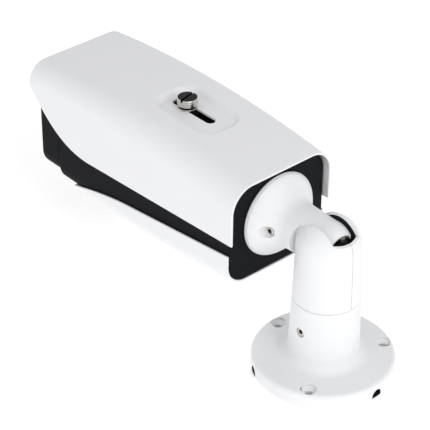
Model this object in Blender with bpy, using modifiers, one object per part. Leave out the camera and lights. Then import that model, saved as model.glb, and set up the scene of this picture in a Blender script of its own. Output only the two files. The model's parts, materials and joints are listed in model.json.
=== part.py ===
"""A bullet security camera on a bracket that pans, tilts and rolls.

Sizes are in millimetres and are turned into metres where the meshes are made. The origin is the
centre of the flange's mounting face, +Z is the post's axis and the lens looks along -Y. "Left" is
the camera's own left side, +X.
"""
import math

import bmesh
import bpy
from mathutils import Vector

MM = 0.001

# ---- driving dimensions, mm ----
FIT_GAP = 0.3            # between pieces that touch or slide
SCREW_GAP = 0.2          # round a screw in its hole
M3_R = 1.5
M3_HOLE_R = M3_R + SCREW_GAP

FLANGE_R = 45.0
FLANGE_H = 10.0
FLANGE_EDGE_R = 2.5
FLANGE_FLOOR_H = 7.0     # thickness of the flange's plate above its hollow underside
HOLE_PCD_R = FLANGE_R - 6.15
HOLE_R = 2.5
HOLE_HEAD_R = 4.8
HOLE_HEAD_DEPTH = 3.0
PATTERN_TURN = 32.4      # degrees from +X to the first screw hole
NOTCH_W = 7.5
NOTCH_H = 5.4
NOTCH_DEPTH = 11.0
GASKET_R0 = 20.0
GASKET_R1 = FLANGE_R - 14.0
GASKET_H = 1.6

COLLAR_BORE_R = 15.8
COLLAR_WALL = 5.35
COLLAR_TOP_R = COLLAR_BORE_R + COLLAR_WALL
COLLAR_FOOT_R = COLLAR_TOP_R + 1.35
COLLAR_FILLET = 6.0
SEAM_Z = 53.3            # the horizontal joint where the fork turns on the collar
PAN_LOCK_Z = SEAM_Z - 18.3
SPIGOT_LENGTH = 23.0
SPIGOT_WALL = 3.0

LOCK_R = 3.0             # the three M6 set screws
LOCK_LENGTH = 5.5
LOCK_SOCKET_R = 1.7
LOCK_SOCKET_DEPTH = 2.6
LOCK_GROOVE_DEPTH = 1.2  # in the spigot that the screw bears on

POST_LENGTH = 36.9       # from the seam to the tilt axis
TILT_Z = SEAM_Z + POST_LENGTH
DOME_R = COLLAR_TOP_R - 1.15
POST_WALL = 3.6
SLOT_X = 0.9             # the slot's middle plane
TONGUE_HALF = 8.9
CHEEK_GAP = 0.8          # between the tongue and each cheek of the slot
SLOT_HALF = TONGUE_HALF + CHEEK_GAP
SILL_ABOVE_TILT = 9.9
SILL_Y = 13.7            # where the sill has that height
SILL_SLOPE = 0.3         # it falls toward the rear by this much for each millimetre
NECK_R = 15.2
SWEEP_R = NECK_R + 0.6   # what the tongue needs as it tilts
REAR_WALL_R = NECK_R + 0.8
POST_CAVITY_TOP = TILT_Z - SWEEP_R - 2.9
TONGUE_WALL = 2.4
PIN_R = 5.0
PIN_CHEEK_DEPTH = 5.4
WASHER_R = 8.2
WASHER_T = 1.3
WASHER_RECESS = 0.9
TILT_LOCK_BELOW = 10.0
FORK_SCREW_Y = 9.5
FORK_SCREW_Z = SEAM_Z + 10.7
FORK_BOSS_R = 4.1

TONGUE_END_Y = 9.8
NECK_STEP_GAP = 0.6      # between the cheeks and the step where the neck narrows to the tongue
NECK_STEP_Y = -math.sqrt(DOME_R ** 2 - (SLOT_HALF - SLOT_X) ** 2) - NECK_STEP_GAP
BORE_R = 10.2
TONGUE_BORE_R = 9.9
DISH_R = 28.0
DISH_FRONT_Y = -44.6
DISH_EDGE = 1.3
ROLL_LOCK_Y = -33.6
ROLL_LOCK_HEAD_R = 4.0
SEAL_R0 = 20.5
SEAL_R1 = 24.0
SEAL_T = 1.35

REAR_Y = -45.0
HOUSING_LENGTH = 168.0
HOUSING_FRONT_Y = REAR_Y - HOUSING_LENGTH
HOUSING_HALF = 39.0
HOUSING_TOP = TILT_Z + 30.8
HOUSING_WALL = 3.0
TOP_CORNER_R = 15.0
BOTTOM_CORNER_R = 14.0
SPIGOT_R = 11.0
SPIGOT_BORE_R = 7.5
HUB_SCREW_PCD_R = SPIGOT_R + 3.3
HUB_FLANGE_R = HUB_SCREW_PCD_R + 3.2
HUB_FLANGE_T = 3.0
ROLL_LOCK_X = SPIGOT_R + 0.6 + LOCK_LENGTH   # where the screw's outer end lies

BEZEL_FRONT_Y = HOUSING_FRONT_Y - 20.0
BEZEL_GAP = 0.9
BEZEL_HALF = HOUSING_HALF - 0.7
BEZEL_BOTTOM = TILT_Z - 41.3
BEZEL_TOP = HOUSING_TOP - 0.4
BEZEL_CORNER_R = 14.0
BEZEL_SCREW_INSET = 6.9
BEZEL_BOSS_R = 4.9
BEZEL_BOSS_BACK = 0.6    # behind the front rim
SEAL_INSET = 0.8
SEAL_W = 1.1
WINDOW_HALF_W = BEZEL_HALF - 7.6
WINDOW_HALF_H = (BEZEL_TOP - BEZEL_BOTTOM) / 2 - 7.15
WINDOW_T = 2.6
WINDOW_CORNER_R = 10.0
WINDOW_LEDGE = 3.0
LENS_Z = TILT_Z - 5.2
LAMP_BOARD_Y = BEZEL_FRONT_Y + 9.0
LAMP_BOARD_SHY = 4.2     # how far the lamp board stays inside the window's edge
LENS_BACK_Y = BEZEL_FRONT_Y + 57.0
CHASSIS_FRONT_Y = LENS_BACK_Y + 11.0
CHASSIS_REAR_Y = -70.0

COVER_GAP = 0.5
COVER_T = 1.3
COVER_FRONT_Y = HOUSING_FRONT_Y + 10.0
COVER_SCREW_YS = (REAR_Y - 33.0, COVER_FRONT_Y + 25.0)
COVER_BOSS_H = 7.0

SHIELD_T = 1.5
SHIELD_HALF = HOUSING_HALF + 1.0 + SHIELD_T
SHIELD_FRONT_HALF = SHIELD_HALF - 0.9
SHIELD_REAR_Y = REAR_Y + 4.0
SHIELD_FRONT_Y = BEZEL_FRONT_Y - 7.0
SHIELD_R_REAR = 17.0
SHIELD_R_FRONT = 13.5
SHIELD_TOP_REAR = HOUSING_TOP + 2.75
SHIELD_TOP_MID = HOUSING_TOP + 10.3
SHIELD_TOP_FRONT = HOUSING_TOP + 4.9
PAD_Z = HOUSING_TOP + 6.6    # the floor of the recess round the slot
PAD_T = 1.4
PAD_HALF_W = 15.5
PAD_Y = (-145.0, -92.5)
PAD_CORNER_R = 11.0
SLOT_Y = (-140.6, -103.4)

THUMB_Y = -128.3
THUMB_HEAD_R = 6.6
THUMB_HEAD_H = 5.5
THUMB_SHAFT_R = 2.5
SLOT_W = 2 * THUMB_SHAFT_R + 2.0
THUMB_DEPTH = 15.0
FLAT_WASHER_R = 6.3
FLAT_WASHER_T = 0.9
SPRING_WASHER_R = 4.9
SPRING_WASHER_T = 1.1
TOUCH = 0.15             # between the stacked washers and the screw's head

BOARD_T = 1.6

COLLECTION = "security_camera"
CUTTERS = "security_camera_cutters"


# ---- small tools ----
def clear_scene():
    for obj in list(bpy.data.objects):
        bpy.data.objects.remove(obj, do_unlink=True)


def collection(name):
    made = bpy.data.collections.new(name)
    bpy.context.scene.collection.children.link(made)
    return made


def material(name, colour, roughness, metallic=0.0):
    made = bpy.data.materials.new(name)
    made.use_nodes = True
    shader = made.node_tree.nodes["Principled BSDF"]
    shader.inputs["Base Color"].default_value = (*colour, 1.0)
    shader.inputs["Roughness"].default_value = roughness
    shader.inputs["Metallic"].default_value = metallic
    return made


def put(mesh, name, at, look=None, parent=None):
    """Link a mesh as a part, or as a cutter where it has no look."""
    obj = bpy.data.objects.new(name, mesh)
    obj.location = Vector(at) * MM
    if look is None:
        cutters.objects.link(obj)
        obj.hide_render = True
        obj.display_type = "WIRE"
        return obj
    parts.objects.link(obj)
    mesh.materials.append(look)
    if parent is not None:
        obj.parent = parent
        obj.location = obj.location - parent.location
    return obj


def axis_empty(name, at):
    obj = bpy.data.objects.new(name, None)
    obj.location = Vector(at) * MM
    parts.objects.link(obj)
    return obj


def boolean(obj, other, operation):
    step = obj.modifiers.new(other.name, "BOOLEAN")
    step.operation = operation
    step.solver = "EXACT"
    step.object = other


def cut(obj, *others):
    for other in others:
        boolean(obj, other, "DIFFERENCE")


def join(obj, *others):
    for other in others:
        boolean(obj, other, "UNION")


TURN_TO = {"Z": (0.0, 0.0, 0.0), "Y": (-math.pi / 2, 0.0, 0.0), "X": (0.0, math.pi / 2, 0.0)}


def turned(name, profile, at=(0, 0, 0), axis="Z", look=None, parent=None, steps=40):
    """Turn a profile of (radius, height) pairs about an axis; it runs down its outer side."""
    mesh = bpy.data.meshes.new(name)
    points = [(radius * MM, 0.0, height * MM) for radius, height in profile]
    closed = profile[0][0] > 0.0 or profile[-1][0] > 0.0
    edges = [(i, i + 1) for i in range(len(points) - 1)]
    if closed:
        edges.append((len(points) - 1, 0))
    mesh.from_pydata(points, edges, [])
    obj = put(mesh, name, at, look, parent)
    obj.rotation_euler = TURN_TO[axis]
    screw = obj.modifiers.new("Turn", "SCREW")
    screw.steps = steps
    screw.render_steps = steps
    screw.use_merge_vertices = True
    screw.merge_threshold = 0.00001
    screw.use_smooth_shade = True
    return obj


def drum(name, radius, low, high, at=(0, 0, 0), axis="Z", look=None, parent=None, steps=24):
    """A plain cylinder from low to high along its axis."""
    profile = [(0.0, high), (radius, high), (radius, low), (0.0, low)]
    return turned(name, profile, at, axis, look, parent, steps)


def ring(name, r0, r1, low, high, at=(0, 0, 0), axis="Z", look=None, parent=None, steps=28):
    profile = [(r1, high), (r1, low), (r0, low), (r0, high)]
    return turned(name, profile, at, axis, look, parent, steps)


def block(name, low, high, look=None, parent=None, origin=None, bevel=0.0):
    """A box between two corners in world coordinates."""
    middle = [(a + b) / 2 for a, b in zip(low, high)]
    origin = middle if origin is None else origin
    mesh = bpy.data.meshes.new(name)
    bm = bmesh.new()
    bmesh.ops.create_cube(bm, size=1.0)
    for vert in bm.verts:
        for i in range(3):
            vert.co[i] = (middle[i] - origin[i] + vert.co[i] * (high[i] - low[i])) * MM
    bm.to_mesh(mesh)
    bm.free()
    obj = put(mesh, name, origin, look, parent)
    if bevel > 0.0:
        round_off = obj.modifiers.new("Bevel", "BEVEL")
        round_off.width = bevel * MM
        round_off.segments = 2
    return obj


def loft(name, loops, origin=(0, 0, 0), look=None, parent=None):
    """Join closed loops of world points into one solid with flat ends."""
    mesh = bpy.data.meshes.new(name)
    bm = bmesh.new()
    rows = [[bm.verts.new((Vector(p) - Vector(origin)) * MM) for p in loop] for loop in loops]
    count = len(rows[0])
    for row, after in zip(rows, rows[1:]):
        for i in range(count):
            j = (i + 1) % count
            bm.faces.new((row[i], row[j], after[j], after[i]))
    bm.faces.new(rows[0])
    bm.faces.new(rows[-1])
    bmesh.ops.recalc_face_normals(bm, faces=bm.faces)
    bm.to_mesh(mesh)
    bm.free()
    return put(mesh, name, origin, look, parent)


def trough(name, outers, inners, origin=(0, 0, 0), look=None, parent=None):
    """A thin open channel between outer and inner lines, with closed edges and ends."""
    mesh = bpy.data.meshes.new(name)
    bm = bmesh.new()

    def rows_of(lines):
        return [[bm.verts.new((Vector(p) - Vector(origin)) * MM) for p in line] for line in lines]

    out_rows = rows_of(outers)
    in_rows = rows_of(inners)
    last = len(out_rows[0]) - 1
    for rows in (out_rows, in_rows):
        for row, after in zip(rows, rows[1:]):
            for i in range(last):
                bm.faces.new((row[i], row[i + 1], after[i + 1], after[i]))
    for k in range(len(out_rows) - 1):
        for i in (0, last):
            bm.faces.new((out_rows[k][i], out_rows[k + 1][i], in_rows[k + 1][i], in_rows[k][i]))
    for k in (0, -1):
        for i in range(last):
            bm.faces.new((out_rows[k][i], out_rows[k][i + 1], in_rows[k][i + 1], in_rows[k][i]))
    bmesh.ops.recalc_face_normals(bm, faces=bm.faces)
    bm.to_mesh(mesh)
    bm.free()
    return put(mesh, name, origin, look, parent)


def arc(cx, cz, radius, start, end, count):
    """Points on an arc, angles in degrees from +X toward +Z."""
    points = []
    for i in range(count + 1):
        a = math.radians(start + (end - start) * i / count)
        points.append((cx + radius * math.cos(a), cz + radius * math.sin(a)))
    return points


def rounded(half_w, low, high, r_low, r_high, count=5):
    """A closed rounded rectangle of (x, z) points about x = 0."""
    line = arc(half_w - r_high, high - r_high, r_high, 0, 90, count)
    line += arc(r_high - half_w, high - r_high, r_high, 90, 180, count)
    line += arc(r_low - half_w, low + r_low, r_low, 180, 270, count)
    line += arc(half_w - r_low, low + r_low, r_low, 270, 360, count)
    return line


def at_y(line, y):
    return [(x, y, z) for x, z in line]


def prism(name, line, y0, y1, look=None, parent=None, origin=(0, 0, 0)):
    return loft(name, [at_y(line, y0), at_y(line, y1)], origin, look, parent)


def set_screw(name, at, axis, side, parent, steps=20):
    """A set screw; its socket faces side (+1 or -1) along the axis and at is its outer end."""
    body_end = -side * LOCK_LENGTH
    low, high = sorted((0.0, body_end))
    obj = drum(name, LOCK_R, low, high, at, axis, steel, parent, steps)
    depth = -side * LOCK_SOCKET_DEPTH
    lo, hi = sorted((side * 1.0, depth))
    socket = drum(name + "_socket", LOCK_SOCKET_R, lo, hi, at, axis, steps=6)
    cut(obj, socket)
    return obj


def lock_groove(r, middle):
    """The groove round a spigot of radius r that a set screw's point turns in."""
    wide, narrow, floor = LOCK_R + 0.4, LOCK_R - 1.0, r - LOCK_GROOVE_DEPTH
    return [(r, middle - wide), (floor, middle - narrow), (floor, middle + narrow), (r, middle + wide)]


def cap_screw(name, at, axis, side, head_r, head_h, shaft_r, length, parent, look=None):
    """A cap screw; at is the head's seat, the head points to side and the shaft away from it."""
    head, shaft = side * head_h, -side * length
    if side > 0:
        line = [(0.0, head), (head_r, head), (head_r, 0.0), (shaft_r, 0.0), (shaft_r, shaft), (0.0, shaft)]
    else:
        line = [(0.0, shaft), (shaft_r, shaft), (shaft_r, 0.0), (head_r, 0.0), (head_r, head), (0.0, head)]
    obj = turned(name, line, at, axis, look or steel, parent, 12)
    lo, hi = sorted((head + side * 1.0, head - side * head_h * 0.6))
    cut(obj, drum(name + "_socket", head_r * 0.5, lo, hi, at, axis, steps=6))
    return obj


# ---- the shapes that several pieces share ----
def post_r(z):
    """The radius of the collar and the post, one slight taper from foot to dome."""
    if z < SEAM_Z:
        return COLLAR_FOOT_R + (COLLAR_TOP_R - COLLAR_FOOT_R) * (z - FLANGE_H) / (SEAM_Z - FLANGE_H)
    return COLLAR_TOP_R + (DOME_R - COLLAR_TOP_R) * (z - SEAM_Z) / (TILT_Z - SEAM_Z)


def along(y):
    """0 at the sunshield's rear edge and 1 at its front lip."""
    return (y - SHIELD_REAR_Y) / (SHIELD_FRONT_Y - SHIELD_REAR_Y)


def shield_top(y):
    """The sunshield's outer top, a shallow arch through its rear, middle and front heights."""
    s = along(y)
    rear = SHIELD_TOP_REAR * (1 - s) * (1 - 2 * s)
    return rear + 4 * SHIELD_TOP_MID * s * (1 - s) + SHIELD_TOP_FRONT * s * (2 * s - 1)


def shield_edge(y):
    """The height of the sunshield's lower side edge: nearly level, then swept up to the lip."""
    rear, middle, turn, rise = TILT_Z - 5.0, TILT_Z - 12.5, 0.70, 33.0
    s = along(y)
    line = rear + (middle - rear) * min(s / turn, 1.0)
    lift = max(s - turn, 0.0) / (1.0 - turn)
    return line + rise * lift ** 2.3


def housing_bottom(y):
    """The underside falls away from the rear face and levels off toward the front."""
    rear, front, reach = TILT_Z - 37.0, TILT_Z - 44.3, 105.0
    s = min((REAR_Y - y) / reach, 1.0)
    return rear + (front - rear) * (2 * s - s * s)


def cover_edge(y):
    """The height of the lower cover's upper edge: straight, then curving down to its front tip."""
    rear, bend, tip = TILT_Z - 14.7, TILT_Z - 26.3, TILT_Z - 42.6
    bend_y = COVER_FRONT_Y + 55.0
    if y > bend_y:
        return rear + (bend - rear) * (REAR_Y - y) / (REAR_Y - bend_y)
    s = (bend_y - y) / (bend_y - COVER_FRONT_Y)
    return bend - 9.5 * s - (bend - 9.5 - tip) * s ** 3.2


def materials():
    global white, black, steel, steel_black, rubber, glass, board, gold, dark_glass, alloy
    white = material("white_paint", (0.86, 0.87, 0.88), 0.42)
    black = material("black_paint", (0.020, 0.022, 0.026), 0.45)
    steel = material("steel", (0.55, 0.54, 0.52), 0.3, 1.0)
    steel_black = material("black_steel", (0.02, 0.02, 0.02), 0.4, 0.8)
    rubber = material("rubber", (0.015, 0.015, 0.015), 0.8)
    glass = material("clear_glass", (0.03, 0.035, 0.04), 0.05)
    dark_glass = material("lens_glass", (0.05, 0.03, 0.09), 0.04)
    board = material("board", (0.01, 0.10, 0.05), 0.5)
    gold = material("led", (0.85, 0.78, 0.45), 0.3)
    alloy = material("alloy", (0.60, 0.61, 0.62), 0.4, 1.0)


# ---- the base ----
def base():
    fillet_z = FLANGE_H + COLLAR_FILLET
    foot = [(post_r(fillet_z), fillet_z)]
    for i in range(1, 5):
        a = math.radians(90 * i / 4)
        r = post_r(fillet_z) + COLLAR_FILLET * (1 - math.cos(a))
        foot.append((r, fillet_z - COLLAR_FILLET * math.sin(a)))
    edge = []
    for i in range(4):
        a = math.radians(90 - 30 * i)
        r = FLANGE_R - FLANGE_EDGE_R * (1 - math.cos(a))
        edge.append((r, FLANGE_H - FLANGE_EDGE_R * (1 - math.sin(a))))
    top = SEAM_Z - FIT_GAP / 2
    under = FLANGE_H - FLANGE_FLOOR_H
    line = [(post_r(top), top)] + foot + edge + [(FLANGE_R, 0.0)]
    line += [(GASKET_R1, 0.0), (GASKET_R1, under), (GASKET_R0, under), (GASKET_R0, 0.0)]
    line += [(COLLAR_BORE_R - 1.5, 0.0), (COLLAR_BORE_R - 1.5, SEAM_Z - SPIGOT_LENGTH - 2.0)]
    line += [(COLLAR_BORE_R, SEAM_Z - SPIGOT_LENGTH - 2.0), (COLLAR_BORE_R, top)]
    flange = turned("base_flange", line, look=white, steps=40)
    for k in range(3):
        a = math.radians(PATTERN_TURN + 120 * k)
        spot = (HOLE_PCD_R * math.cos(a), HOLE_PCD_R * math.sin(a), 0)
        seat = FLANGE_H - HOLE_HEAD_DEPTH
        line = [(0.0, FLANGE_H + 1), (HOLE_HEAD_R, FLANGE_H + 1), (HOLE_HEAD_R, seat + 1.2)]
        line += [(HOLE_R, seat - 0.6), (HOLE_R, -1.0), (0.0, -1.0)]
        cut(flange, turned("flange_hole_%d" % (k + 1), line, spot, steps=16))
        a += math.radians(60)
        arch = [(-NOTCH_W / 2, -1.0), (NOTCH_W / 2, -1.0)]
        arch += arc(0, NOTCH_H - NOTCH_W / 2, NOTCH_W / 2, 0, 180, 6)
        notch = prism("flange_notch_%d" % (k + 1), arch, FLANGE_R - NOTCH_DEPTH, FLANGE_R + 2)
        notch.rotation_euler = (0, 0, a - math.pi / 2)
        cut(flange, notch)
    lock = (0, 0, PAN_LOCK_Z)
    cut(flange, drum("pan_lock_hole", LOCK_R + SCREW_GAP, COLLAR_BORE_R - 2, FLANGE_R, lock, "X", steps=20))
    ring("base_gasket", GASKET_R0 + FIT_GAP, GASKET_R1 - FIT_GAP, 0.0, GASKET_H, look=rubber)
    set_screw("pan_lock_screw", (post_r(PAN_LOCK_Z) - 0.9, 0, PAN_LOCK_Z), "X", 1, None)


# ---- the fork ----
def post_solid(name, cavity_r, look, origin):
    """The post and its dome, hollow below the slot, before it is split into halves."""
    low = SEAM_Z + FIT_GAP / 2
    line = [(DOME_R * math.cos(math.radians(a)), TILT_Z + DOME_R * math.sin(math.radians(a)))
            for a in (90, 75, 60, 45, 30, 15, 0)]
    line[0] = (0.0, TILT_Z + DOME_R)
    line += [(post_r(low), low), (cavity_r, low), (cavity_r, POST_CAVITY_TOP)]
    line += [(BORE_R - 1.5, POST_CAVITY_TOP), (BORE_R - 1.5, POST_CAVITY_TOP + 5), (0.0, POST_CAVITY_TOP + 5)]
    lowered = [(r, z - origin[2]) for r, z in line]
    return turned(name, lowered, origin, look=look, parent=pan_axis, steps=32)


def slot_cutters():
    """What the tongue sweeps, and the open front and top."""
    x0, x1 = SLOT_X - SLOT_HALF, SLOT_X + SLOT_HALF
    round_part = drum("slot_round", SWEEP_R, x0, x1, (0, 0, TILT_Z), "X", steps=32)
    front = block("slot_front", (x0, -DOME_R - 5, TILT_Z - SWEEP_R), (x1, 0.1, TILT_Z + DOME_R + 5))
    up = TILT_Z + DOME_R + 5
    turns = [math.acos(x0 / REAR_WALL_R), math.acos(x1 / REAR_WALL_R)]
    back = arc(0, 0, REAR_WALL_R, math.degrees(turns[1]), math.degrees(turns[0]), 10)
    outline = [(x0, -0.1), (x1, -0.1)] + back
    rise = loft("slot_rise", [[(x, y, z) for x, y in outline] for z in (TILT_Z, up)])
    sill = TILT_Z + SILL_ABOVE_TILT
    y_far = DOME_R + 5
    drop = SILL_SLOPE * (y_far - SILL_Y)
    side = [(0.0, sill + SILL_SLOPE * SILL_Y), (y_far, sill - drop), (y_far, up), (0.0, up)]
    top = loft("slot_top", [[(x, y, z) for y, z in side] for x in (x0, x1)])
    return round_part, front, rise, top


def fork():
    origin = (0, 0, SEAM_Z)
    inner = post_r(SEAM_Z) - POST_WALL
    body = post_solid("fork_body", inner - 0.8, white, origin)
    cover = post_solid("fork_cover", inner, white, origin)
    cutters_shared = slot_cutters()
    side = 2 * DOME_R
    cut(body, block("right_half", (-side, -side, 0), (FIT_GAP / 2, side, 2 * TILT_Z)), *cutters_shared)
    cut(cover, block("left_half", (-FIT_GAP / 2, -side, 0), (side, side, 2 * TILT_Z)), *cutters_shared)

    r = COLLAR_BORE_R - FIT_GAP
    foot = SEAM_Z - SPIGOT_LENGTH
    groove_z = SEAM_Z - 7.0
    line = [(inner - FIT_GAP, SEAM_Z + 4.0), (inner - FIT_GAP, SEAM_Z + FIT_GAP / 2)]
    line += [(r, SEAM_Z + FIT_GAP / 2), (r, groove_z + 1.3)]
    line += [(r - 1.9, groove_z + 1.3), (r - 1.9, groove_z - 1.3), (r, groove_z - 1.3)]
    line += reversed(lock_groove(r, PAN_LOCK_Z))
    line += [(r, foot), (r - SPIGOT_WALL, foot), (r - SPIGOT_WALL, SEAM_Z + 4.0)]
    spigot = turned("pan_spigot_join", line, steps=32)
    join(body, spigot)
    ring("pan_o_ring", r - 1.6, r - 0.1, -0.9, 0.9, (0, 0, groove_z), "Z", rubber, pan_axis, 32)

    for label, y in (("rear", FORK_SCREW_Y), ("front", -FORK_SCREW_Y)):
        spot = (0, y, FORK_SCREW_Z)
        reach = math.sqrt(inner ** 2 - y ** 2) + 0.6
        gap = FIT_GAP / 2
        join(body, drum("fork_boss_%s_body" % label, FORK_BOSS_R, gap, reach, spot, "X", steps=16))
        join(cover, drum("fork_boss_%s_cover" % label, FORK_BOSS_R, -reach, -gap, spot, "X", steps=16))
        seat = -10.5
        hole = drum("fork_screw_hole_%s" % label, M3_HOLE_R, seat - 2, 9.0, spot, "X", steps=12)
        head = drum("fork_screw_seat_%s" % label, 2.75 + SCREW_GAP, -side, seat, spot, "X", steps=16)
        cut(body, hole)
        cut(cover, hole, head)
        at = (seat - FIT_GAP / 2, y, FORK_SCREW_Z)
        cap_screw("fork_screw_" + label, at, "X", -1, 2.75, 3.0, M3_R, 18.0, pan_axis)

    pivot = (0, 0, TILT_Z)
    left_wall = SLOT_X + SLOT_HALF
    right_wall = SLOT_X - SLOT_HALF
    in_left = SLOT_X + TONGUE_HALF - TONGUE_WALL + 0.2
    in_right = SLOT_X - TONGUE_HALF + TONGUE_WALL - 0.2
    hole_r = PIN_R + SCREW_GAP / 2
    cut(body, drum("pin_hole_left", hole_r, 0.0, left_wall + PIN_CHEEK_DEPTH, pivot, "X", steps=24))
    cut(cover, drum("pin_hole_right", hole_r, right_wall - PIN_CHEEK_DEPTH, 0.0, pivot, "X", steps=24))
    pin_depth = PIN_CHEEK_DEPTH - FIT_GAP
    drum("tilt_pin_left", PIN_R, in_left, left_wall + pin_depth, pivot, "X", steel, pan_axis)
    drum("tilt_pin_right", PIN_R, right_wall - pin_depth, in_right, pivot, "X", steel, pan_axis)

    lock_z = TILT_Z - TILT_LOCK_BELOW
    lock = (0, 0, lock_z)
    cut(cover, drum("tilt_lock_hole", LOCK_R + SCREW_GAP, -side, right_wall + 1, lock, "X", steps=20))
    set_screw("tilt_lock_screw", (right_wall - 0.1 - LOCK_LENGTH, 0, lock_z), "X", -1, pan_axis)


# ---- the arm ----
def arm():
    """The dish, the neck and the tongue are one hollow casting, turned about Y and then cut."""
    tongue = [(math.sqrt(NECK_R ** 2 - y * y), y) for y in (TONGUE_END_Y, 8.0, 5.8, 3.0)]
    cone = [(NECK_R + 0.3, -26.5), (16.75, -29.9), (18.4, -32.4), (20.6, -35.0), (23.4, -37.9), (25.8, -40.3)]
    rim = [(DISH_R - 0.8, DISH_FRONT_Y + 2.6), (DISH_R, DISH_FRONT_Y + DISH_EDGE), (DISH_R, DISH_FRONT_Y)]
    groove = DISH_FRONT_Y + SEAL_T
    mouth = [(SEAL_R1, DISH_FRONT_Y), (SEAL_R1, groove), (SEAL_R0, groove), (SEAL_R0, DISH_FRONT_Y)]
    bore_r = SPIGOT_R + FIT_GAP
    bore = [(bore_r, DISH_FRONT_Y), (bore_r, -27.4), (BORE_R, -27.4), (BORE_R, -22.6), (0.0, -22.6)]
    line = [(0.0, TONGUE_END_Y)] + tongue + [(NECK_R, 0.0), (NECK_R, -20.0)] + cone + rim + mouth + bore
    made = turned("swivel_arm", line, (0, 0, TILT_Z), "Y", white, tilt_axis, steps=36)

    out = 2 * NECK_R
    for label, wall, far in (("left", SLOT_X + TONGUE_HALF, out), ("right", SLOT_X - TONGUE_HALF, -out)):
        x0, x1 = sorted((wall, far))
        cut(made, block("flat_" + label, (x0, NECK_STEP_Y, TILT_Z - out), (x1, out, TILT_Z + out)))
    half = TONGUE_HALF - TONGUE_WALL
    r = TONGUE_BORE_R
    rise = math.degrees(math.acos((SLOT_X + half) / r))
    rise_right = math.degrees(math.acos((SLOT_X - half) / r))
    section = arc(0, TILT_Z, r, rise, rise_right, 8) + arc(0, TILT_Z, r, -rise_right, -rise, 8)
    cut(made, prism("tongue_hollow", section, -24.0, out))
    low = (SLOT_X - half + 1.0, -6.0, TILT_Z - out)
    cut(made, block("cable_opening", low, (SLOT_X + half - 1.0, out, TILT_Z - 1.0)))
    bore_r, recess_r = PIN_R + SCREW_GAP, WASHER_R + FIT_GAP
    left = SLOT_X + TONGUE_HALF - WASHER_RECESS
    right = SLOT_X - TONGUE_HALF + WASHER_RECESS
    line = [(0.0, out), (recess_r, out), (recess_r, left), (bore_r, left), (bore_r, right)]
    line += [(recess_r, right), (recess_r, -out), (0.0, -out)]
    cut(made, turned("pivot_bore", line, (0, 0, TILT_Z), "X", steps=24))

    hole_r, floor = LOCK_R + SCREW_GAP, ROLL_LOCK_X - 0.6
    line = [(0.0, out), (ROLL_LOCK_HEAD_R, out), (ROLL_LOCK_HEAD_R, floor)]
    line += [(hole_r, floor), (hole_r, 5.0), (0.0, 5.0)]
    cut(made, turned("roll_lock_hole", line, (0, ROLL_LOCK_Y, TILT_Z), "X", steps=20))
    set_screw("roll_lock_screw", (ROLL_LOCK_X, ROLL_LOCK_Y, TILT_Z), "X", 1, tilt_axis)

    centre = (0, 0, TILT_Z)
    outer = SLOT_X + SLOT_HALF - SCREW_GAP
    r0 = PIN_R + SCREW_GAP
    ring("tilt_washer_left", r0, WASHER_R, outer - WASHER_T, outer, centre, "X", steel, tilt_axis, 24)
    outer = SLOT_X - SLOT_HALF + SCREW_GAP
    ring("tilt_washer_right", r0, WASHER_R, outer, outer + WASHER_T, centre, "X", steel, tilt_axis, 24)
    y0 = REAR_Y + FIT_GAP / 2
    ring("dish_seal", SEAL_R0 + FIT_GAP, SEAL_R1 - FIT_GAP, y0, groove - 0.1, centre, "Y", rubber, tilt_axis)


# ---- the camera body ----
def housing():
    bends = (-60.0, -78.0, -100.0, -125.0, -150.0)
    loops = []
    for y in (REAR_Y, *bends, HOUSING_FRONT_Y):
        line = rounded(HOUSING_HALF, housing_bottom(y), HOUSING_TOP, BOTTOM_CORNER_R, TOP_CORNER_R)
        loops.append(at_y(line, y))
    origin = (0, REAR_Y, TILT_Z)
    made = loft("housing", loops, origin, black, roll_axis)
    inner = []
    w = HOUSING_WALL
    for y in (REAR_Y - w, *bends, HOUSING_FRONT_Y - 5):
        low, top = housing_bottom(y) + w, HOUSING_TOP - w
        line = rounded(HOUSING_HALF - w, low, top, BOTTOM_CORNER_R - w, TOP_CORNER_R - w)
        inner.append(at_y(line, y))
    cut(made, loft("housing_cavity", inner))
    centre = (0, 0, TILT_Z)
    cut(made, drum("spigot_hole", SPIGOT_R + SCREW_GAP, REAR_Y - 10, REAR_Y + 5, centre, "Y", steps=32))
    for k in range(3):
        spot = hub_spot(k)
        end = REAR_Y - 0.9
        cut(made, drum("hub_thread_%d" % (k + 1), M3_HOLE_R, REAR_Y - 10, end, spot, "Y", steps=12))

    top = PAD_Z - PAD_T - FIT_GAP
    boss_floor = HOUSING_TOP - HOUSING_WALL - THUMB_DEPTH + 2
    spot = (0, THUMB_Y, 0)
    join(made, drum("thumb_boss", 7.0, boss_floor, top, spot, steps=24))
    cut(made, drum("thumb_thread", THUMB_SHAFT_R + SCREW_GAP, boss_floor + 2, top + 5, spot, steps=20))
    for k, (x, z) in enumerate(bezel_corners()):
        spot = (x, 0, z)
        depth = HOUSING_FRONT_Y + 16
        near = HOUSING_FRONT_Y + BEZEL_BOSS_BACK
        join(made, drum("bezel_boss_%d" % (k + 1), BEZEL_BOSS_R, near, depth, spot, "Y", steps=16))
        low = HOUSING_FRONT_Y - 5
        cut(made, drum("bezel_thread_%d" % (k + 1), M3_HOLE_R, low, depth - 3, spot, "Y", steps=12))
    for k, y in enumerate(COVER_SCREW_YS):
        floor = housing_bottom(y)
        spot = (0, y, 0)
        top = floor + COVER_BOSS_H
        join(made, drum("cover_boss_%d" % (k + 1), 4.5, floor + 1, top, spot, steps=12))
        cut(made, drum("cover_thread_%d" % (k + 1), M3_HOLE_R, floor - 5, top - 1, spot, steps=12))


def hub_spot(k):
    a = math.radians(90 + 120 * k)
    return (HUB_SCREW_PCD_R * math.cos(a), 0, TILT_Z + HUB_SCREW_PCD_R * math.sin(a))


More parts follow.
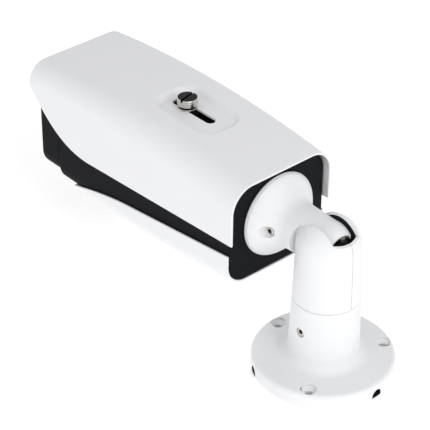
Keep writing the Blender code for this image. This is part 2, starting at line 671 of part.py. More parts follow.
def bezel_corners():
    x = BEZEL_HALF - BEZEL_SCREW_INSET
    high, low = BEZEL_TOP - BEZEL_SCREW_INSET, BEZEL_BOTTOM + BEZEL_SCREW_INSET
    return [(x, high), (-x, high), (-x, low), (x, low)]


def spigot():
    """The hub that the arm's dish turns on, with its cable gland and screws."""
    centre = (0, 0, TILT_Z)
    end = -28.0
    seat = REAR_Y - HOUSING_WALL - FIT_GAP
    back = seat - HUB_FLANGE_T
    r = SPIGOT_R
    line = [(r, end)] + list(reversed(lock_groove(r, ROLL_LOCK_Y)))
    line += [(r, seat), (HUB_FLANGE_R, seat), (HUB_FLANGE_R, back)]
    line += [(SPIGOT_BORE_R, back), (SPIGOT_BORE_R, end)]
    made = turned("roll_spigot", line, centre, "Y", alloy, roll_axis, 30)
    for k in range(3):
        spot = hub_spot(k)
        cut(made, drum("hub_hole_%d" % (k + 1), M3_HOLE_R, back - 2, seat + 2, spot, "Y", steps=12))
        at = (spot[0], back - FIT_GAP / 2, spot[2])
        cap_screw("spigot_screw_%d" % (k + 1), at, "Y", -1, 2.6, 2.4, M3_R, 5.2, roll_axis)
    r = SPIGOT_BORE_R - FIT_GAP
    line = [(r, -34.0), (r, back - FIT_GAP), (r + 2.0, back - FIT_GAP), (r + 2.0, back - 2.2)]
    line += [(3.2, back - 2.2), (3.2, -34.0)]
    turned("cable_gland", line, centre, "Y", rubber, roll_axis, 28)


def channel_line(half, bottom, radius, edge_z, count=18):
    """One side of a channel from its upper edge to the middle of its floor, evenly spaced."""
    corner_z = bottom + radius
    start = 0.0 if edge_z >= corner_z else -math.asin((corner_z - edge_z) / radius)
    side = max(edge_z - corner_z, 0.0)
    bend = radius * (math.pi / 2 + start)
    flat = half - radius
    total = side + bend + flat
    points = []
    for i in range(count + 1):
        d = total * i / count
        if d < side:
            points.append((half, edge_z - d))
        elif d < side + bend:
            a = start - (d - side) / radius
            points.append((half - radius + radius * math.cos(a), corner_z + radius * math.sin(a)))
        else:
            points.append((half - radius - (d - side - bend), bottom))
    return points


def lower_cover():
    outers, inners = [], []
    gap, thick = COVER_GAP, COVER_T
    shares = (0, 0.095, 0.209, 0.348, 0.506, 0.665, 0.778, 0.873, 0.943, 1)
    ys = [REAR_Y + (COVER_FRONT_Y - REAR_Y) * share for share in shares]
    for y in ys:
        base_z = housing_bottom(y)
        for lines, grow in ((outers, gap + thick), (inners, gap)):
            half = channel_line(HOUSING_HALF + grow, base_z - grow, BOTTOM_CORNER_R + grow, cover_edge(y))
            mirrored = [(-x, z) for x, z in reversed(half[:-1])]
            lines.append(at_y(half + mirrored, y))
    made = trough("lower_cover", outers, inners, (0, REAR_Y, TILT_Z), white, roll_axis)
    for label, y in zip(("rear", "front"), COVER_SCREW_YS):
        face = housing_bottom(y) - gap - thick
        cut(made, drum("cover_hole_" + label, M3_HOLE_R, face - 2, face + 5, (0, y, 0), steps=12))
        seat = face + 0.45
        cut(made, drum("cover_seat_" + label, 2.8 + SCREW_GAP, face - 5, seat, (0, y, 0), steps=12))
        at = (0, y, seat - FIT_GAP / 2)
        cap_screw("lower_cover_screw_" + label, at, "Z", -1, 2.8, 1.8, M3_R, COVER_BOSS_H - 0.6, roll_axis)


def front():
    back = HOUSING_FRONT_Y - BEZEL_GAP
    face = BEZEL_FRONT_Y
    outer = rounded(BEZEL_HALF, BEZEL_BOTTOM, BEZEL_TOP, BEZEL_CORNER_R, BEZEL_CORNER_R)
    origin = (0, back, LENS_Z)
    made = prism("front_bezel", outer, back, face, black, roll_axis, origin)
    edge = made.modifiers.new("Bevel", "BEVEL")
    edge.width = 0.8 * MM
    edge.segments = 2
    edge.limit_method = "ANGLE"
    edge.angle_limit = math.radians(50)
    w, h, r = WINDOW_HALF_W + FIT_GAP, WINDOW_HALF_H + FIT_GAP, WINDOW_CORNER_R
    seat = face + 0.6 + WINDOW_T + FIT_GAP + 1.2
    cut(made, prism("window_pocket", rounded(w, LENS_Z - h, LENS_Z + h, r, r), face - 5, seat))
    w, h, r = w - WINDOW_LEDGE, h - WINDOW_LEDGE, r - 2.0
    cut(made, prism("bezel_opening", rounded(w, LENS_Z - h, LENS_Z + h, r, r), face - 5, back + 5))
    for k, (x, z) in enumerate(bezel_corners()):
        spot = (x, 0, z)
        cut(made, drum("bezel_hole_%d" % (k + 1), M3_HOLE_R, face - 5, back + 5, spot, "Y", steps=12))
        cut(made, drum("bezel_head_%d" % (k + 1), 2.7 + SCREW_GAP, face - 5, face + 4.5, spot, "Y", steps=16))
        at = (x, face + 4.5 - FIT_GAP / 2, z)
        cap_screw("bezel_screw_%d" % (k + 1), at, "Y", -1, 2.7, 3.0, M3_R, 24.0, roll_axis)

    w, h, r = WINDOW_HALF_W, WINDOW_HALF_H, WINDOW_CORNER_R
    pane = rounded(w, LENS_Z - h, LENS_Z + h, r, r)
    prism("front_window", pane, face + 0.6, face + 0.6 + WINDOW_T, glass, roll_axis, origin)
    y0, y1 = face + 0.6 + WINDOW_T + FIT_GAP / 2, seat - FIT_GAP / 2
    pad = prism("window_gasket", pane, y0, y1, rubber, roll_axis, origin)
    w, h, r = w - WINDOW_LEDGE + 0.6, h - WINDOW_LEDGE + 0.6, r - 2.0
    cut(pad, prism("gasket_opening", rounded(w, LENS_Z - h, LENS_Z + h, r, r), face - 5, back))

    outer = inset_outline(SEAL_INSET)
    inner = inset_outline(SEAL_INSET + SEAL_W)
    y0, y1 = HOUSING_FRONT_Y - 0.15, back + 0.15
    seal = prism("bezel_seal", outer, y0, y1, rubber, roll_axis, origin)
    cut(seal, prism("bezel_seal_opening", inner, y0 + 5, y1 - 5))


def inset_outline(inset):
    r = BEZEL_CORNER_R - inset
    return rounded(BEZEL_HALF - inset, BEZEL_BOTTOM + inset, BEZEL_TOP - inset, r, r)


def optics():
    centre = (0, 0, LENS_Z)
    board_y = LAMP_BOARD_Y
    half_w, half_h = WINDOW_HALF_W - LAMP_BOARD_SHY, WINDOW_HALF_H - LAMP_BOARD_SHY
    line = rounded(half_w, LENS_Z - half_h, LENS_Z + half_h, 8, 8, 3)
    lamp_board = prism("ir_board", line, board_y, board_y + BOARD_T, board, roll_axis, (0, board_y, LENS_Z))
    cut(lamp_board, drum("ir_board_hole", 15.4, board_y - 5, board_y + 5, centre, "Y", steps=28))
    for k in range(6):
        a = math.radians(30 + 60 * k)
        spot = (20.2 * math.cos(a), 0, LENS_Z + 20.2 * math.sin(a))
        y1 = board_y - FIT_GAP / 2
        line = [(0.0, y1), (3.0, y1), (3.0, y1 - 1.4), (2.3, y1 - 2.6), (1.1, y1 - 3.2), (0.0, y1 - 3.4)]
        turned("ir_led_%d" % (k + 1), line, spot, "Y", gold, roll_axis, 16)
    face = BEZEL_FRONT_Y + 0.6 + WINDOW_T + FIT_GAP
    line = [(15.0, board_y + 12), (15.0, face), (13.8, face), (13.8, board_y + 12)]
    turned("lens_shroud", line, centre, "Y", rubber, roll_axis, 28)
    tip = face + 2.0
    back = LENS_BACK_Y
    line = [(12.0, back), (12.0, back - 24), (13.0, back - 27), (13.0, tip), (11.2, tip), (10.2, tip + 4.0)]
    line += [(10.2, tip + 9.0), (8.0, tip + 9.0), (8.0, back)]
    turned("lens_barrel", line, centre, "Y", black, roll_axis, 28)
    y0 = tip + 9.0 - FIT_GAP
    r = 10.0
    line = [(0.0, y0), (r, y0), (r, y0 - 1.6), (r * 0.8, y0 - 3.0), (r * 0.5, y0 - 4.1), (0.0, y0 - 4.6)]
    turned("lens_front_element", line, centre, "Y", dark_glass, roll_axis, 24)
    low, high = (-17, back - 14, LENS_Z - 17), (17, back + 4, LENS_Z + 17)
    mount = block("lens_mount", low, high, black, roll_axis, bevel=1.0)
    cut(mount, drum("lens_mount_bore", 12.0 + SCREW_GAP, back - 19, back + 11, centre, "Y", steps=28))
    y0 = back + 4.3
    block("sensor_board", (-19, y0, LENS_Z - 19), (19, y0 + BOARD_T, LENS_Z + 19), board, roll_axis)
    low, high = (-5.2, y0 - 1.9, LENS_Z - 4.2), (5.2, y0 - 0.3, LENS_Z + 4.2)
    block("image_sensor", low, high, dark_glass, roll_axis)


def electronics():
    front, rear = CHASSIS_FRONT_Y, CHASSIS_REAR_Y
    floor = housing_bottom(rear) + COVER_BOSS_H + 1.0
    plate = block("chassis", (-24, front, floor), (24, rear, floor + 1.5), alloy, roll_axis)
    tab = block("chassis_tab", (-24, front, floor), (24, front + 1.5, floor + 42))
    join(plate, tab)
    low = floor + 4.2
    block("main_board", (-22, front + 7, low), (22, rear - 6, low + BOARD_T), board, roll_axis)
    low += BOARD_T + FIT_GAP
    block("heat_spreader", (-13, front + 15, low), (13, rear - 42, low + 7), alloy, roll_axis)
    block("network_jack", (-8, rear - 26, low), (8, rear - 7, low + 13), steel, roll_axis)


# ---- the sunshield ----
def shield_line(y, shrink):
    s = along(y)
    half = SHIELD_HALF + (SHIELD_FRONT_HALF - SHIELD_HALF) * s - shrink
    r = SHIELD_R_REAR + (SHIELD_R_FRONT - SHIELD_R_REAR) * s - shrink
    top = shield_top(y) - shrink
    side = [(half, shield_edge(y)), (half, (shield_edge(y) + top - r) / 2)]
    line = side + arc(half - r, top - r, r, 0, 90, 6)
    middle = [((half - r) * 0.4, top)]
    return line + middle + [(-x, z) for x, z in reversed(line + middle)]


def shield():
    ys = [SHIELD_REAR_Y + (SHIELD_FRONT_Y - SHIELD_REAR_Y) * s for s in
          (0, 0.1, 0.22, 0.34, 0.46, 0.58, 0.70, 0.76, 0.82, 0.87, 0.92, 0.96, 1.0)]
    outers = [at_y(shield_line(y, 0.0), y) for y in ys]
    inners = [at_y(shield_line(y, SHIELD_T), y) for y in ys]
    origin = (0, THUMB_Y, PAD_Z)
    made = trough("sun_shield", outers, inners, origin, white, shield_axis)
    y_front, y_rear = PAD_Y
    mid_y, half_l = (y_front + y_rear) / 2, (y_rear - y_front) / 2

    def outline(grow):
        r = PAD_CORNER_R + grow
        line = rounded(PAD_HALF_W + grow, -half_l - grow, half_l + grow, r, r, 4)
        return [(x, mid_y + v) for x, v in line]

    def slab(name, line, z0, z1):
        return loft(name, [[(x, y, z0) for x, y in line], [(x, y, z1) for x, y in line]])

    join(made, slab("pad_under", outline(PAD_T), PAD_Z - PAD_T, shield_top(PAD_Y[1]) - SHIELD_T * 0.4))
    cut(made, slab("pad_recess", outline(0.0), PAD_Z, PAD_Z + 20))
    r = SLOT_W / 2
    slot = arc(0, SLOT_Y[1] - r, r, 0, 180, 8) + arc(0, SLOT_Y[0] + r, r, 180, 360, 8)
    cut(made, slab("shield_slot", slot, PAD_Z - 10, PAD_Z + 10))


def thumb_screw():
    at = (0, THUMB_Y, PAD_Z)
    z = TOUCH
    r0 = THUMB_SHAFT_R + SCREW_GAP
    ring("flat_washer", r0, FLAT_WASHER_R, z, z + FLAT_WASHER_T, at, "Z", steel, screw_axis)
    z += FLAT_WASHER_T + TOUCH
    top = z + SPRING_WASHER_T
    washer = ring("spring_washer", r0, SPRING_WASHER_R, z, top, at, "Z", steel_black, screw_axis)
    split = block("spring_washer_split", (0, THUMB_Y - 0.4, PAD_Z - 2), (10, THUMB_Y + 0.4, PAD_Z + 10))
    cut(washer, split)
    z += SPRING_WASHER_T + TOUCH
    top = z + THUMB_HEAD_H
    r, edge = THUMB_HEAD_R, 0.6
    low = z + THUMB_SHAFT_R - THUMB_DEPTH
    line = [(0.0, top), (r - edge, top), (r, top - edge), (r, z + edge), (r - edge, z), (THUMB_SHAFT_R, z)]
    line += [(THUMB_SHAFT_R, low), (0.0, low)]
    made = turned("shield_screw", line, at, "Z", steel, screw_axis, 32)
    low, high = (-0.7, THUMB_Y - 10, PAD_Z + top - 1.6), (0.7, THUMB_Y + 10, PAD_Z + top + 5)
    cut(made, block("shield_screw_slot", low, high))


clear_scene()
parts = collection(COLLECTION)
cutters = collection(CUTTERS)
materials()
pan_axis = axis_empty("pan_axis", (0, 0, SEAM_Z))
tilt_axis = axis_empty("tilt_axis", (0, 0, TILT_Z))
roll_axis = axis_empty("roll_axis", (0, REAR_Y, TILT_Z))
shield_axis = axis_empty("shield_axis", (0, THUMB_Y, PAD_Z))
screw_axis = axis_empty("screw_axis", (0, THUMB_Y, PAD_Z))
base()
fork()
arm()
housing()
spigot()
lower_cover()
front()
optics()
electronics()
shield()
thumb_screw()
bpy.context.view_layer.update()
for part in parts.objects:
    if part.type == "MESH":
        part.data.shade_smooth()
        part.data.set_sharp_from_angle(angle=math.radians(35))
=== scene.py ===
"""A bullet security camera on a bracket that pans, tilts and rolls: its surfaces and finishes.

Sizes are in millimetres and become metres where a mesh is made. The origin is the centre of the
flange's mounting face, +Z is the post's axis and the lens looks along -Y.
"""
import json
import math

import bmesh
import bpy
from mathutils import Matrix, Vector


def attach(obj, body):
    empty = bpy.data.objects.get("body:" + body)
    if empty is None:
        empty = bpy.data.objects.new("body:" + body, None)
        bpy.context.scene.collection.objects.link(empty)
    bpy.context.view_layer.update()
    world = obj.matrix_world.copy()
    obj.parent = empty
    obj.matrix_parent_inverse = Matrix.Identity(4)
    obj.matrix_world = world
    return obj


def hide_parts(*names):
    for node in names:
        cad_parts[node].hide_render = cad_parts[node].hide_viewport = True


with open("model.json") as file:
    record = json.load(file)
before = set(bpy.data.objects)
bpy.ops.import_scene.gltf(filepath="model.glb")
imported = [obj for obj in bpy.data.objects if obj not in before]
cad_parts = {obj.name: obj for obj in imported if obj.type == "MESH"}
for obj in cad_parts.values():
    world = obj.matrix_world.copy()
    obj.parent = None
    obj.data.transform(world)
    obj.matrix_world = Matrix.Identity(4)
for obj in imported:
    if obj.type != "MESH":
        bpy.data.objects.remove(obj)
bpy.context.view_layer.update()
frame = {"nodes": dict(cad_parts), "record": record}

MM = 0.001
TILT_Z = 90.2            # the height of the tilt and roll axes
SEAM_Z = 53.3            # the joint where the fork turns on the collar
GAP = 0.3                # between pieces that touch or slide
SCREW_GAP = 0.2
M3_R = 1.5

FLANGE_R = 45.0
FLANGE_H = 10.0
FLANGE_EDGE_R = 2.5
FLANGE_FLOOR_H = 7.0
HOLE_PCD_R = 38.85
HOLE_R = 2.5
HOLE_HEAD_R = 4.8
HOLE_HEAD_DEPTH = 3.0
PATTERN_TURN = 32.4
NOTCH_W = 7.5
NOTCH_H = 5.4
NOTCH_DEPTH = 11.0
GASKET_R0 = 20.0
GASKET_R1 = 31.0
COLLAR_FOOT_R = 22.5
COLLAR_TOP_R = 21.15
COLLAR_FILLET = 6.0
COLLAR_BORE_R = 15.8
PAN_LOCK_Z = 35.0
SPIGOT_LENGTH = 23.0
PAN_SPIGOT_WALL = 3.0
RING_GROOVE_Z = SEAM_Z - 7.0
RING_GROOVE_HALF = 1.3
RING_GROOVE_DEPTH = 1.9

LOCK_R = 3.0
LOCK_LENGTH = 5.5
LOCK_SOCKET_R = 1.7
LOCK_SOCKET_DEPTH = 2.6
LOCK_GROOVE_WIDE = 3.4   # half its width at the mouth
LOCK_GROOVE_NARROW = 2.0 # half its width at the floor
LOCK_GROOVE_DEPTH = 1.2

DOME_R = 20.0
POST_WALL = 3.6
POST_CAVITY_TOP = 71.5
SLOT_X = 0.9
SLOT_HALF = 9.7
SILL_ABOVE_TILT = 9.9
SILL_Y = 13.7            # where the sill has that height
SILL_SLOPE = 0.3         # it falls toward the rear by this much for each millimetre
REAR_WALL_R = 16.0       # the slot's rear wall
TONGUE_HALF = 8.9
TONGUE_WALL = 2.4
CHEEK_LIP_R = 15.8       # outside this the right cheek slopes back from the slot
PIN_R = 5.0
PIN_CHEEK_DEPTH = 5.4
WASHER_R = 8.2
WASHER_RECESS = 0.9
FORK_SCREW_Y = 9.5
FORK_SCREW_Z = 64.0
TILT_LOCK_Z = 80.2

NECK_R = 15.2
NECK_STEP_R = 18.56
TONGUE_END_Y = 9.8
BORE_R = 10.2
TONGUE_BORE_R = 10.3
DISH_R = 28.0
DISH_FRONT_Y = -44.6
SEAL_R0 = 20.5
SEAL_R1 = 24.0
SEAL_T = 1.35
ROLL_LOCK_Y = -33.6
ROLL_LOCK_X = 17.1
ROLL_LOCK_HEAD_R = 4.0

REAR_Y = -45.0
HOUSING_HALF = 39.0
HOUSING_TOP = 121.0
HOUSING_WALL = 3.0
HOUSING_FRONT_Y = -213.0
TOP_CORNER_R = 15.0
BOTTOM_CORNER_R = 14.0
SPIGOT_R = 11.0
BEZEL_BACK_Y = -213.9
BEZEL_FRONT_Y = -233.0
BEZEL_HALF = 38.3
BEZEL_BOTTOM = 48.9
BEZEL_TOP = 120.6
BEZEL_CORNER_R = 14.0
BEZEL_SCREW_INSET = 6.9
BEZEL_BOSS_R = 4.6
BEZEL_BOSS_BACK = 0.6    # behind the front rim
WINDOW_HALF_W = 30.7
WINDOW_HALF_H = 28.7
WINDOW_T = 2.6
WINDOW_CORNER_R = 10.0
WINDOW_LEDGE = 3.0
LENS_Z = 85.0
LAMP_BOARD_Y = -224.0
LAMP_PCD_R = 20.2
LENS_BACK_Y = -176.0

COVER_GAP = 0.5
COVER_T = 1.3
COVER_FRONT_Y = -203.0
COVER_SCREW_YS = (-78.0, -178.0)

SHIELD_HALF = 41.5
SHIELD_FRONT_HALF = 40.6
SHIELD_REAR_Y = -41.0
SHIELD_FRONT_Y = -240.0
SHIELD_T = 1.5
SHIELD_R_REAR = 17.0
SHIELD_R_FRONT = 13.5
SHIELD_TOP_REAR = 123.75
SHIELD_TOP_MID = 131.3
SHIELD_TOP_FRONT = 125.9
PAD_Z = 127.6
PAD_T = 1.4
PAD_HALF_W = 15.5
PAD_FRONT_Y = -145.0
PAD_REAR_Y = -92.5
PAD_CORNER_R = 11.0
SLOT_W = 7.0
SLOT_FRONT_Y = -140.6
SLOT_REAR_Y = -103.4
THUMB_Y = -128.3
THUMB_HEAD_R = 6.6
THUMB_HEAD_H = 5.5
THUMB_SHAFT_R = 2.5
SLOT_TURN = math.radians(-76.8)   # of the driver slot in the thumb screw's head


# ---- mesh tools ----
def new_piece(name, points, faces):
    """A mesh object whose points are in millimetres of the shared frame."""
    mesh = bpy.data.meshes.new(name)
    mesh.from_pydata([Vector(p) * MM for p in points], [], faces)
    bm = bmesh.new()
    bm.from_mesh(mesh)
    bmesh.ops.remove_doubles(bm, verts=bm.verts, dist=0.000001)
    bmesh.ops.recalc_face_normals(bm, faces=bm.faces)
    bm.to_mesh(mesh)
    bm.free()
    piece = bpy.data.objects.new(name, mesh)
    bpy.context.scene.collection.objects.link(piece)
    return piece


def on_axis(axis, centre, radius, angle, height):
    """The point at a radius, an angle and a height along an axis through centre."""
    across = radius * math.cos(angle)
    round_it = radius * math.sin(angle)
    if axis == "Z":
        local = (across, round_it, height)
    elif axis == "Y":
        local = (across, height, round_it)
    else:
        local = (height, across, round_it)
    return tuple(c + p for c, p in zip(centre, local))


def turned(name, profile, centre=(0, 0, 0), axis="Z", steps=96):
    """Turn (radius, height) points about an axis; the line closes on itself or ends on the axis."""
    count = len(profile)
    closed = profile[0][0] > 0.0 or profile[-1][0] > 0.0
    points = []
    for k in range(steps):
        angle = 2 * math.pi * k / steps
        points += [on_axis(axis, centre, r, angle, h) for r, h in profile]
    faces = []
    for k in range(steps):
        a, b = k * count, (k + 1) % steps * count
        for i in range(count if closed else count - 1):
            j = (i + 1) % count
            corners = [a + i, a + j, b + j, b + i]
            if profile[i][0] == 0.0:
                corners.remove(b + i)
            if profile[j][0] == 0.0:
                corners.remove(b + j)
            if len(corners) > 2:
                faces.append(corners)
    return new_piece(name, points, faces)


def skin(name, loops):
    """Join closed loops of points into one solid with flat ends."""
    count = len(loops[0])
    points = [p for loop in loops for p in loop]
    faces = [list(range(count)), list(range(len(points) - count, len(points)))]
    for k in range(len(loops) - 1):
        for i in range(count):
            j = (i + 1) % count
            a, b = k * count, (k + 1) * count
            faces.append([a + i, a + j, b + j, b + i])
    return new_piece(name, points, faces)


def thin_shell(name, outers, inners):
    """An open channel with thickness, between rows of outer and inner points."""
    rows, width = len(outers), len(outers[0])
    points = [p for line in outers + inners for p in line]
    shift = rows * width
    faces = []
    for k in range(rows - 1):
        for i in range(width - 1):
            quad = [k * width + i, k * width + i + 1, (k + 1) * width + i + 1, (k + 1) * width + i]
            faces += [quad, [p + shift for p in reversed(quad)]]
        for i in (0, width - 1):
            a, b = k * width + i, (k + 1) * width + i
            faces.append([a, b, b + shift, a + shift])
    for k in (0, rows - 1):
        for i in range(width - 1):
            a = k * width + i
            faces.append([a, a + 1, a + 1 + shift, a + shift])
    return new_piece(name, points, faces)


def arc(cx, cz, radius, start, end, count):
    """Points on an arc, angles in degrees."""
    turns = [math.radians(start + (end - start) * i / count) for i in range(count + 1)]
    return [(cx + radius * math.cos(a), cz + radius * math.sin(a)) for a in turns]


def rounded(half_w, low, high, r_low, r_high, count=10):
    """A closed rounded rectangle about the first axis' zero."""
    line = arc(half_w - r_high, high - r_high, r_high, 0, 90, count)
    line += arc(r_high - half_w, high - r_high, r_high, 90, 180, count)
    line += arc(r_low - half_w, low + r_low, r_low, 180, 270, count)
    line += arc(half_w - r_low, low + r_low, r_low, 270, 360, count)
    return line


def at_y(line, y):
    return [(x, y, z) for x, z in line]


def at_z(line, z):
    return [(x, y, z) for x, y in line]


def smooth_curve(points):
    """A smooth line through the points, in five parts between each two."""
    parts = 5
    line = []
    for i in range(len(points) - 1):
        before = Vector(points[max(i - 1, 0)])
        a, b = Vector(points[i]), Vector(points[i + 1])
        after = Vector(points[min(i + 2, len(points) - 1)])
        for k in range(parts):
            t = k / parts
            bend = (2 * a + (b - before) * t + (2 * before - 5 * a + 4 * b - after) * t * t
                    + (3 * a - before - 3 * b + after) * t ** 3)
            line.append(tuple(bend / 2))
    return line + [tuple(points[-1])]


def drum(name, radius, low, high, centre=(0, 0, 0), axis="Z", steps=48):
    return turned(name, [(0.0, high), (radius, high), (radius, low), (0.0, low)], centre, axis, steps)


def block(name, low, high):
    line = [(low[0], low[1]), (high[0], low[1]), (high[0], high[1]), (low[0], high[1])]
    return skin(name, [at_z(line, low[2]), at_z(line, high[2])])


def combine(piece, others, operation):
    for other in others:
        step = piece.modifiers.new(other.name, "BOOLEAN")
        step.operation = operation
        step.solver = "EXACT"
        step.object = other
    settle(piece)
    for other in others:
        bpy.data.objects.remove(other, do_unlink=True)


def cut(piece, *others):
    combine(piece, others, "DIFFERENCE")


def join(piece, *others):
    combine(piece, others, "UNION")


def settle(piece):
    """Apply a piece's modifiers to its mesh."""
    bpy.context.view_layer.update()
    graph = bpy.context.evaluated_depsgraph_get()
    mesh = bpy.data.meshes.new_from_object(piece.evaluated_get(graph))
    piece.modifiers.clear()
    piece.data = mesh


def weld(piece, distance):
    """Close the tiny edges that a cut leaves, so that its rim bevels cleanly."""
    bm = bmesh.new()
    bm.from_mesh(piece.data)
    bmesh.ops.remove_doubles(bm, verts=bm.verts, dist=distance * MM)
    bmesh.ops.dissolve_degenerate(bm, edges=bm.edges, dist=0.001 * MM)
    bm.to_mesh(piece.data)
    bm.free()


def soften(piece, width, segments=3, angle=33.0, leave=None):
    """Round the edges that are sharper than an angle, but for those whose middle leave() picks."""
    edge = piece.modifiers.new("Edges", "BEVEL")
    edge.width = width * MM
    edge.segments = segments
    edge.limit_method = "ANGLE"
    edge.angle_limit = math.radians(angle)
    if leave is not None:
        bm = bmesh.new()
        bm.from_mesh(piece.data)
        weight = bm.edges.layers.float.new("bevel_weight_edge")
        for e in bm.edges:
            sharp = e.calc_face_angle(0.0) > math.radians(angle)
            e[weight] = 1.0 if sharp and not leave((e.verts[0].co + e.verts[1].co) / 2 / MM) else 0.0
        bm.to_mesh(piece.data)
        bm.free()
        edge.limit_method = "WEIGHT"
    edge.use_clamp_overlap = False
    edge.miter_outer = "MITER_ARC"
    settle(piece)


def finish_piece(piece, body, nodes, looks, choose=None):
    """Shade a piece, give it its finishes, and let it ride on its body in place of its nodes."""
    mesh = piece.data
    mesh.shade_smooth()
    mesh.set_sharp_from_angle(angle=math.radians(42))
    for look in looks:
        mesh.materials.append(look)
    if choose is not None:
        for face in mesh.polygons:
            face.material_index = choose(face.center / MM, face.normal)
    weighted = piece.modifiers.new("Shading", "WEIGHTED_NORMAL")
    weighted.keep_sharp = True
    settle(piece)
    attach(piece, body)
    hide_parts(*nodes)
    return piece


# ---- shader tools ----
class Value:
    """A shader socket on which sums and products add their own nodes."""

    def __init__(self, finish, socket):
        self.finish = finish
        self.socket = socket

    def math(self, operation, first, second):
        return self.finish.node("ShaderNodeMath", {"operation": operation}, {0: first, 1: second})

    def __add__(self, other):
        return self.math("ADD", self, other)

    __radd__ = __add__

    def __sub__(self, other):
        return self.math("SUBTRACT", self, other)

    def __rsub__(self, other):
        return self.math("SUBTRACT", other, self)

    def __mul__(self, other):
        return self.math("MULTIPLY", self, other)

    __rmul__ = __mul__


class Finish:
    """A procedural material on one Principled shader."""

    def __init__(self, name, colour, roughness, metallic=0.0, **constants):
        self.material = bpy.data.materials.new(name)
        self.material.use_nodes = True
        self.tree = self.material.node_tree
        self.shader = self.tree.nodes["Principled BSDF"]
        self.set("Base Color", (*colour, 1.0))
        self.set("Roughness", roughness)
        self.set("Metallic", metallic)
        for socket, value in constants.items():
            self.set(socket.replace("_", " "), value)

    def set(self, socket, value):
        if isinstance(value, Value):
            self.tree.links.new(value.socket, self.shader.inputs[socket])
        else:
            self.shader.inputs[socket].default_value = value

    def node(self, kind, settings=None, inputs=None, output=0):
        made = self.tree.nodes.new(kind)
        for key, value in (settings or {}).items():
            if key == "stops":
                for stop, (position, colour) in zip(self.stops(made, len(value)), value):
                    stop.position = position
                    stop.color = colour
            else:
                setattr(made, key, value)
        for key, value in (inputs or {}).items():
            if isinstance(value, Value):
                self.tree.links.new(value.socket, made.inputs[key])
            else:
                made.inputs[key].default_value = value
        return Value(self, made.outputs[output])

    def stops(self, ramp, count):
        elements = ramp.color_ramp.elements
        while len(elements) < count:
            elements.new(0.5)
        return elements

    def place(self, stretch=(1.0, 1.0, 1.0)):
        """Object coordinates, which are metres of the shared frame at rest."""
        where = self.node("ShaderNodeTexCoord", output=3)
        return self.node("ShaderNodeMapping", {}, {"Vector": where, "Scale": stretch})

    def noise(self, where, size_mm, detail=2.0):
        scale = 1000.0 / size_mm
        return self.node("ShaderNodeTexNoise", {}, {"Vector": where, "Scale": scale, "Detail": detail})

    def mix(self, factor, first, second):
        """Blend two colours by a factor."""
        inputs = {0: factor, 6: (*first, 1.0), 7: (*second, 1.0)}
        return self.node("ShaderNodeMix", {"data_type": "RGBA"}, inputs, output=2)

    def bump(self, height, depth_mm):
        inputs = {"Height": height, "Distance": depth_mm * MM, "Strength": 1.0}
        self.set("Normal", self.node("ShaderNodeBump", {}, inputs))


def powder_coat(name, light, dark, roughness, grain_mm, depth_mm, specular):
    """A baked powder coat: fine orange peel, with slow changes of tone and gloss."""
    made = Finish(name, light, roughness, Specular_IOR_Level=specular)
    where = made.place()
    peel = made.noise(where, grain_mm, 3.0)
    slow = made.noise(where, 26.0, 3.0)
    made.set("Base Color", made.mix(slow, light, dark))
    made.set("Roughness", roughness - 0.06 + 0.12 * slow + 0.05 * peel)
    made.bump(peel, depth_mm)
    return made.material


def turned_steel(name, light, dark, roughness):
    """Turned or ground metal: fine tool lines and faint stains."""
    made = Finish(name, light, roughness, 1.0)
    where = made.place()
    lines = made.noise(made.place((1.0, 1.0, 9.0)), 1.4, 4.0)
    stain = made.noise(where, 3.0, 3.0)
    made.set("Base Color", made.mix(stain, light, dark))
    made.set("Roughness", roughness - 0.08 + 0.2 * lines)
    made.bump(lines, 0.02)
    return made.material


def moulded_rubber(name, colour):
    made = Finish(name, colour, 0.75, Specular_IOR_Level=0.3)
    where = made.place()
    grain = made.noise(where, 0.5, 3.0)
    bloom = made.noise(where, 6.0, 2.0)
    made.set("Base Color", made.mix(bloom, colour, tuple(c * 1.9 for c in colour)))
    made.set("Roughness", 0.66 + 0.2 * bloom)
    made.bump(grain, 0.03)
    return made.material


def circuit_board(name, mask, track):
    """Solder mask over copper tracks, with rows of small pads."""
    made = Finish(name, mask, 0.35, Coat_Weight=0.3)
    where = made.place()
    settings = {"offset": 0.35, "offset_frequency": 2}
    inputs = {"Vector": where, "Scale": 260.0, "Mortar Size": 0.05, "Brick Width": 0.9, "Row Height": 0.3}
    grid = made.node("ShaderNodeTexBrick", settings, inputs, output=1)
    cloud = made.noise(where, 5.0, 1.0)
    tracks = made.node("ShaderNodeMath", {"operation": "GREATER_THAN"}, {0: grid * cloud, 1: 0.5})
    made.set("Base Color", made.mix(tracks, mask, track))
    made.bump(tracks, 0.03)
    return made.material


def brushed_alloy(name, light, dark):
    made = Finish(name, light, 0.36, 1.0)
    lines = made.noise(made.place((1.0, 14.0, 14.0)), 1.2, 4.0)
    made.set("Base Color", made.mix(lines, light, dark))
    made.set("Roughness", 0.28 + 0.22 * lines)
    made.bump(lines, 0.01)
    return made.material


def smoked_glass():
    made = Finish("smoked_glass", (0.62, 0.63, 0.65), 0.02, Transmission_Weight=0.95, IOR=1.49)
    dust = made.noise(made.place(), 1.5, 4.0)
    made.set("Roughness", 0.015 + 0.03 * dust)
    return made.material


def coated_glass(name, colour):
    made = Finish(name, colour, 0.02, Coat_Weight=1.0, Coat_Roughness=0.01, Specular_IOR_Level=0.8)
    tint = made.noise(made.place(), 14.0, 1.0)
    made.set("Base Color", made.mix(tint, colour, (0.012, 0.03, 0.05)))
    return made.material


def lamp_plastic():
    made = Finish("lamp_plastic", (0.85, 0.80, 0.62), 0.08, Transmission_Weight=0.45, IOR=1.5)
    warm = made.noise(made.place(), 2.2, 1.0)
    made.set("Base Color", made.mix(warm, (0.90, 0.86, 0.70), (0.80, 0.62, 0.25)))
    return made.material


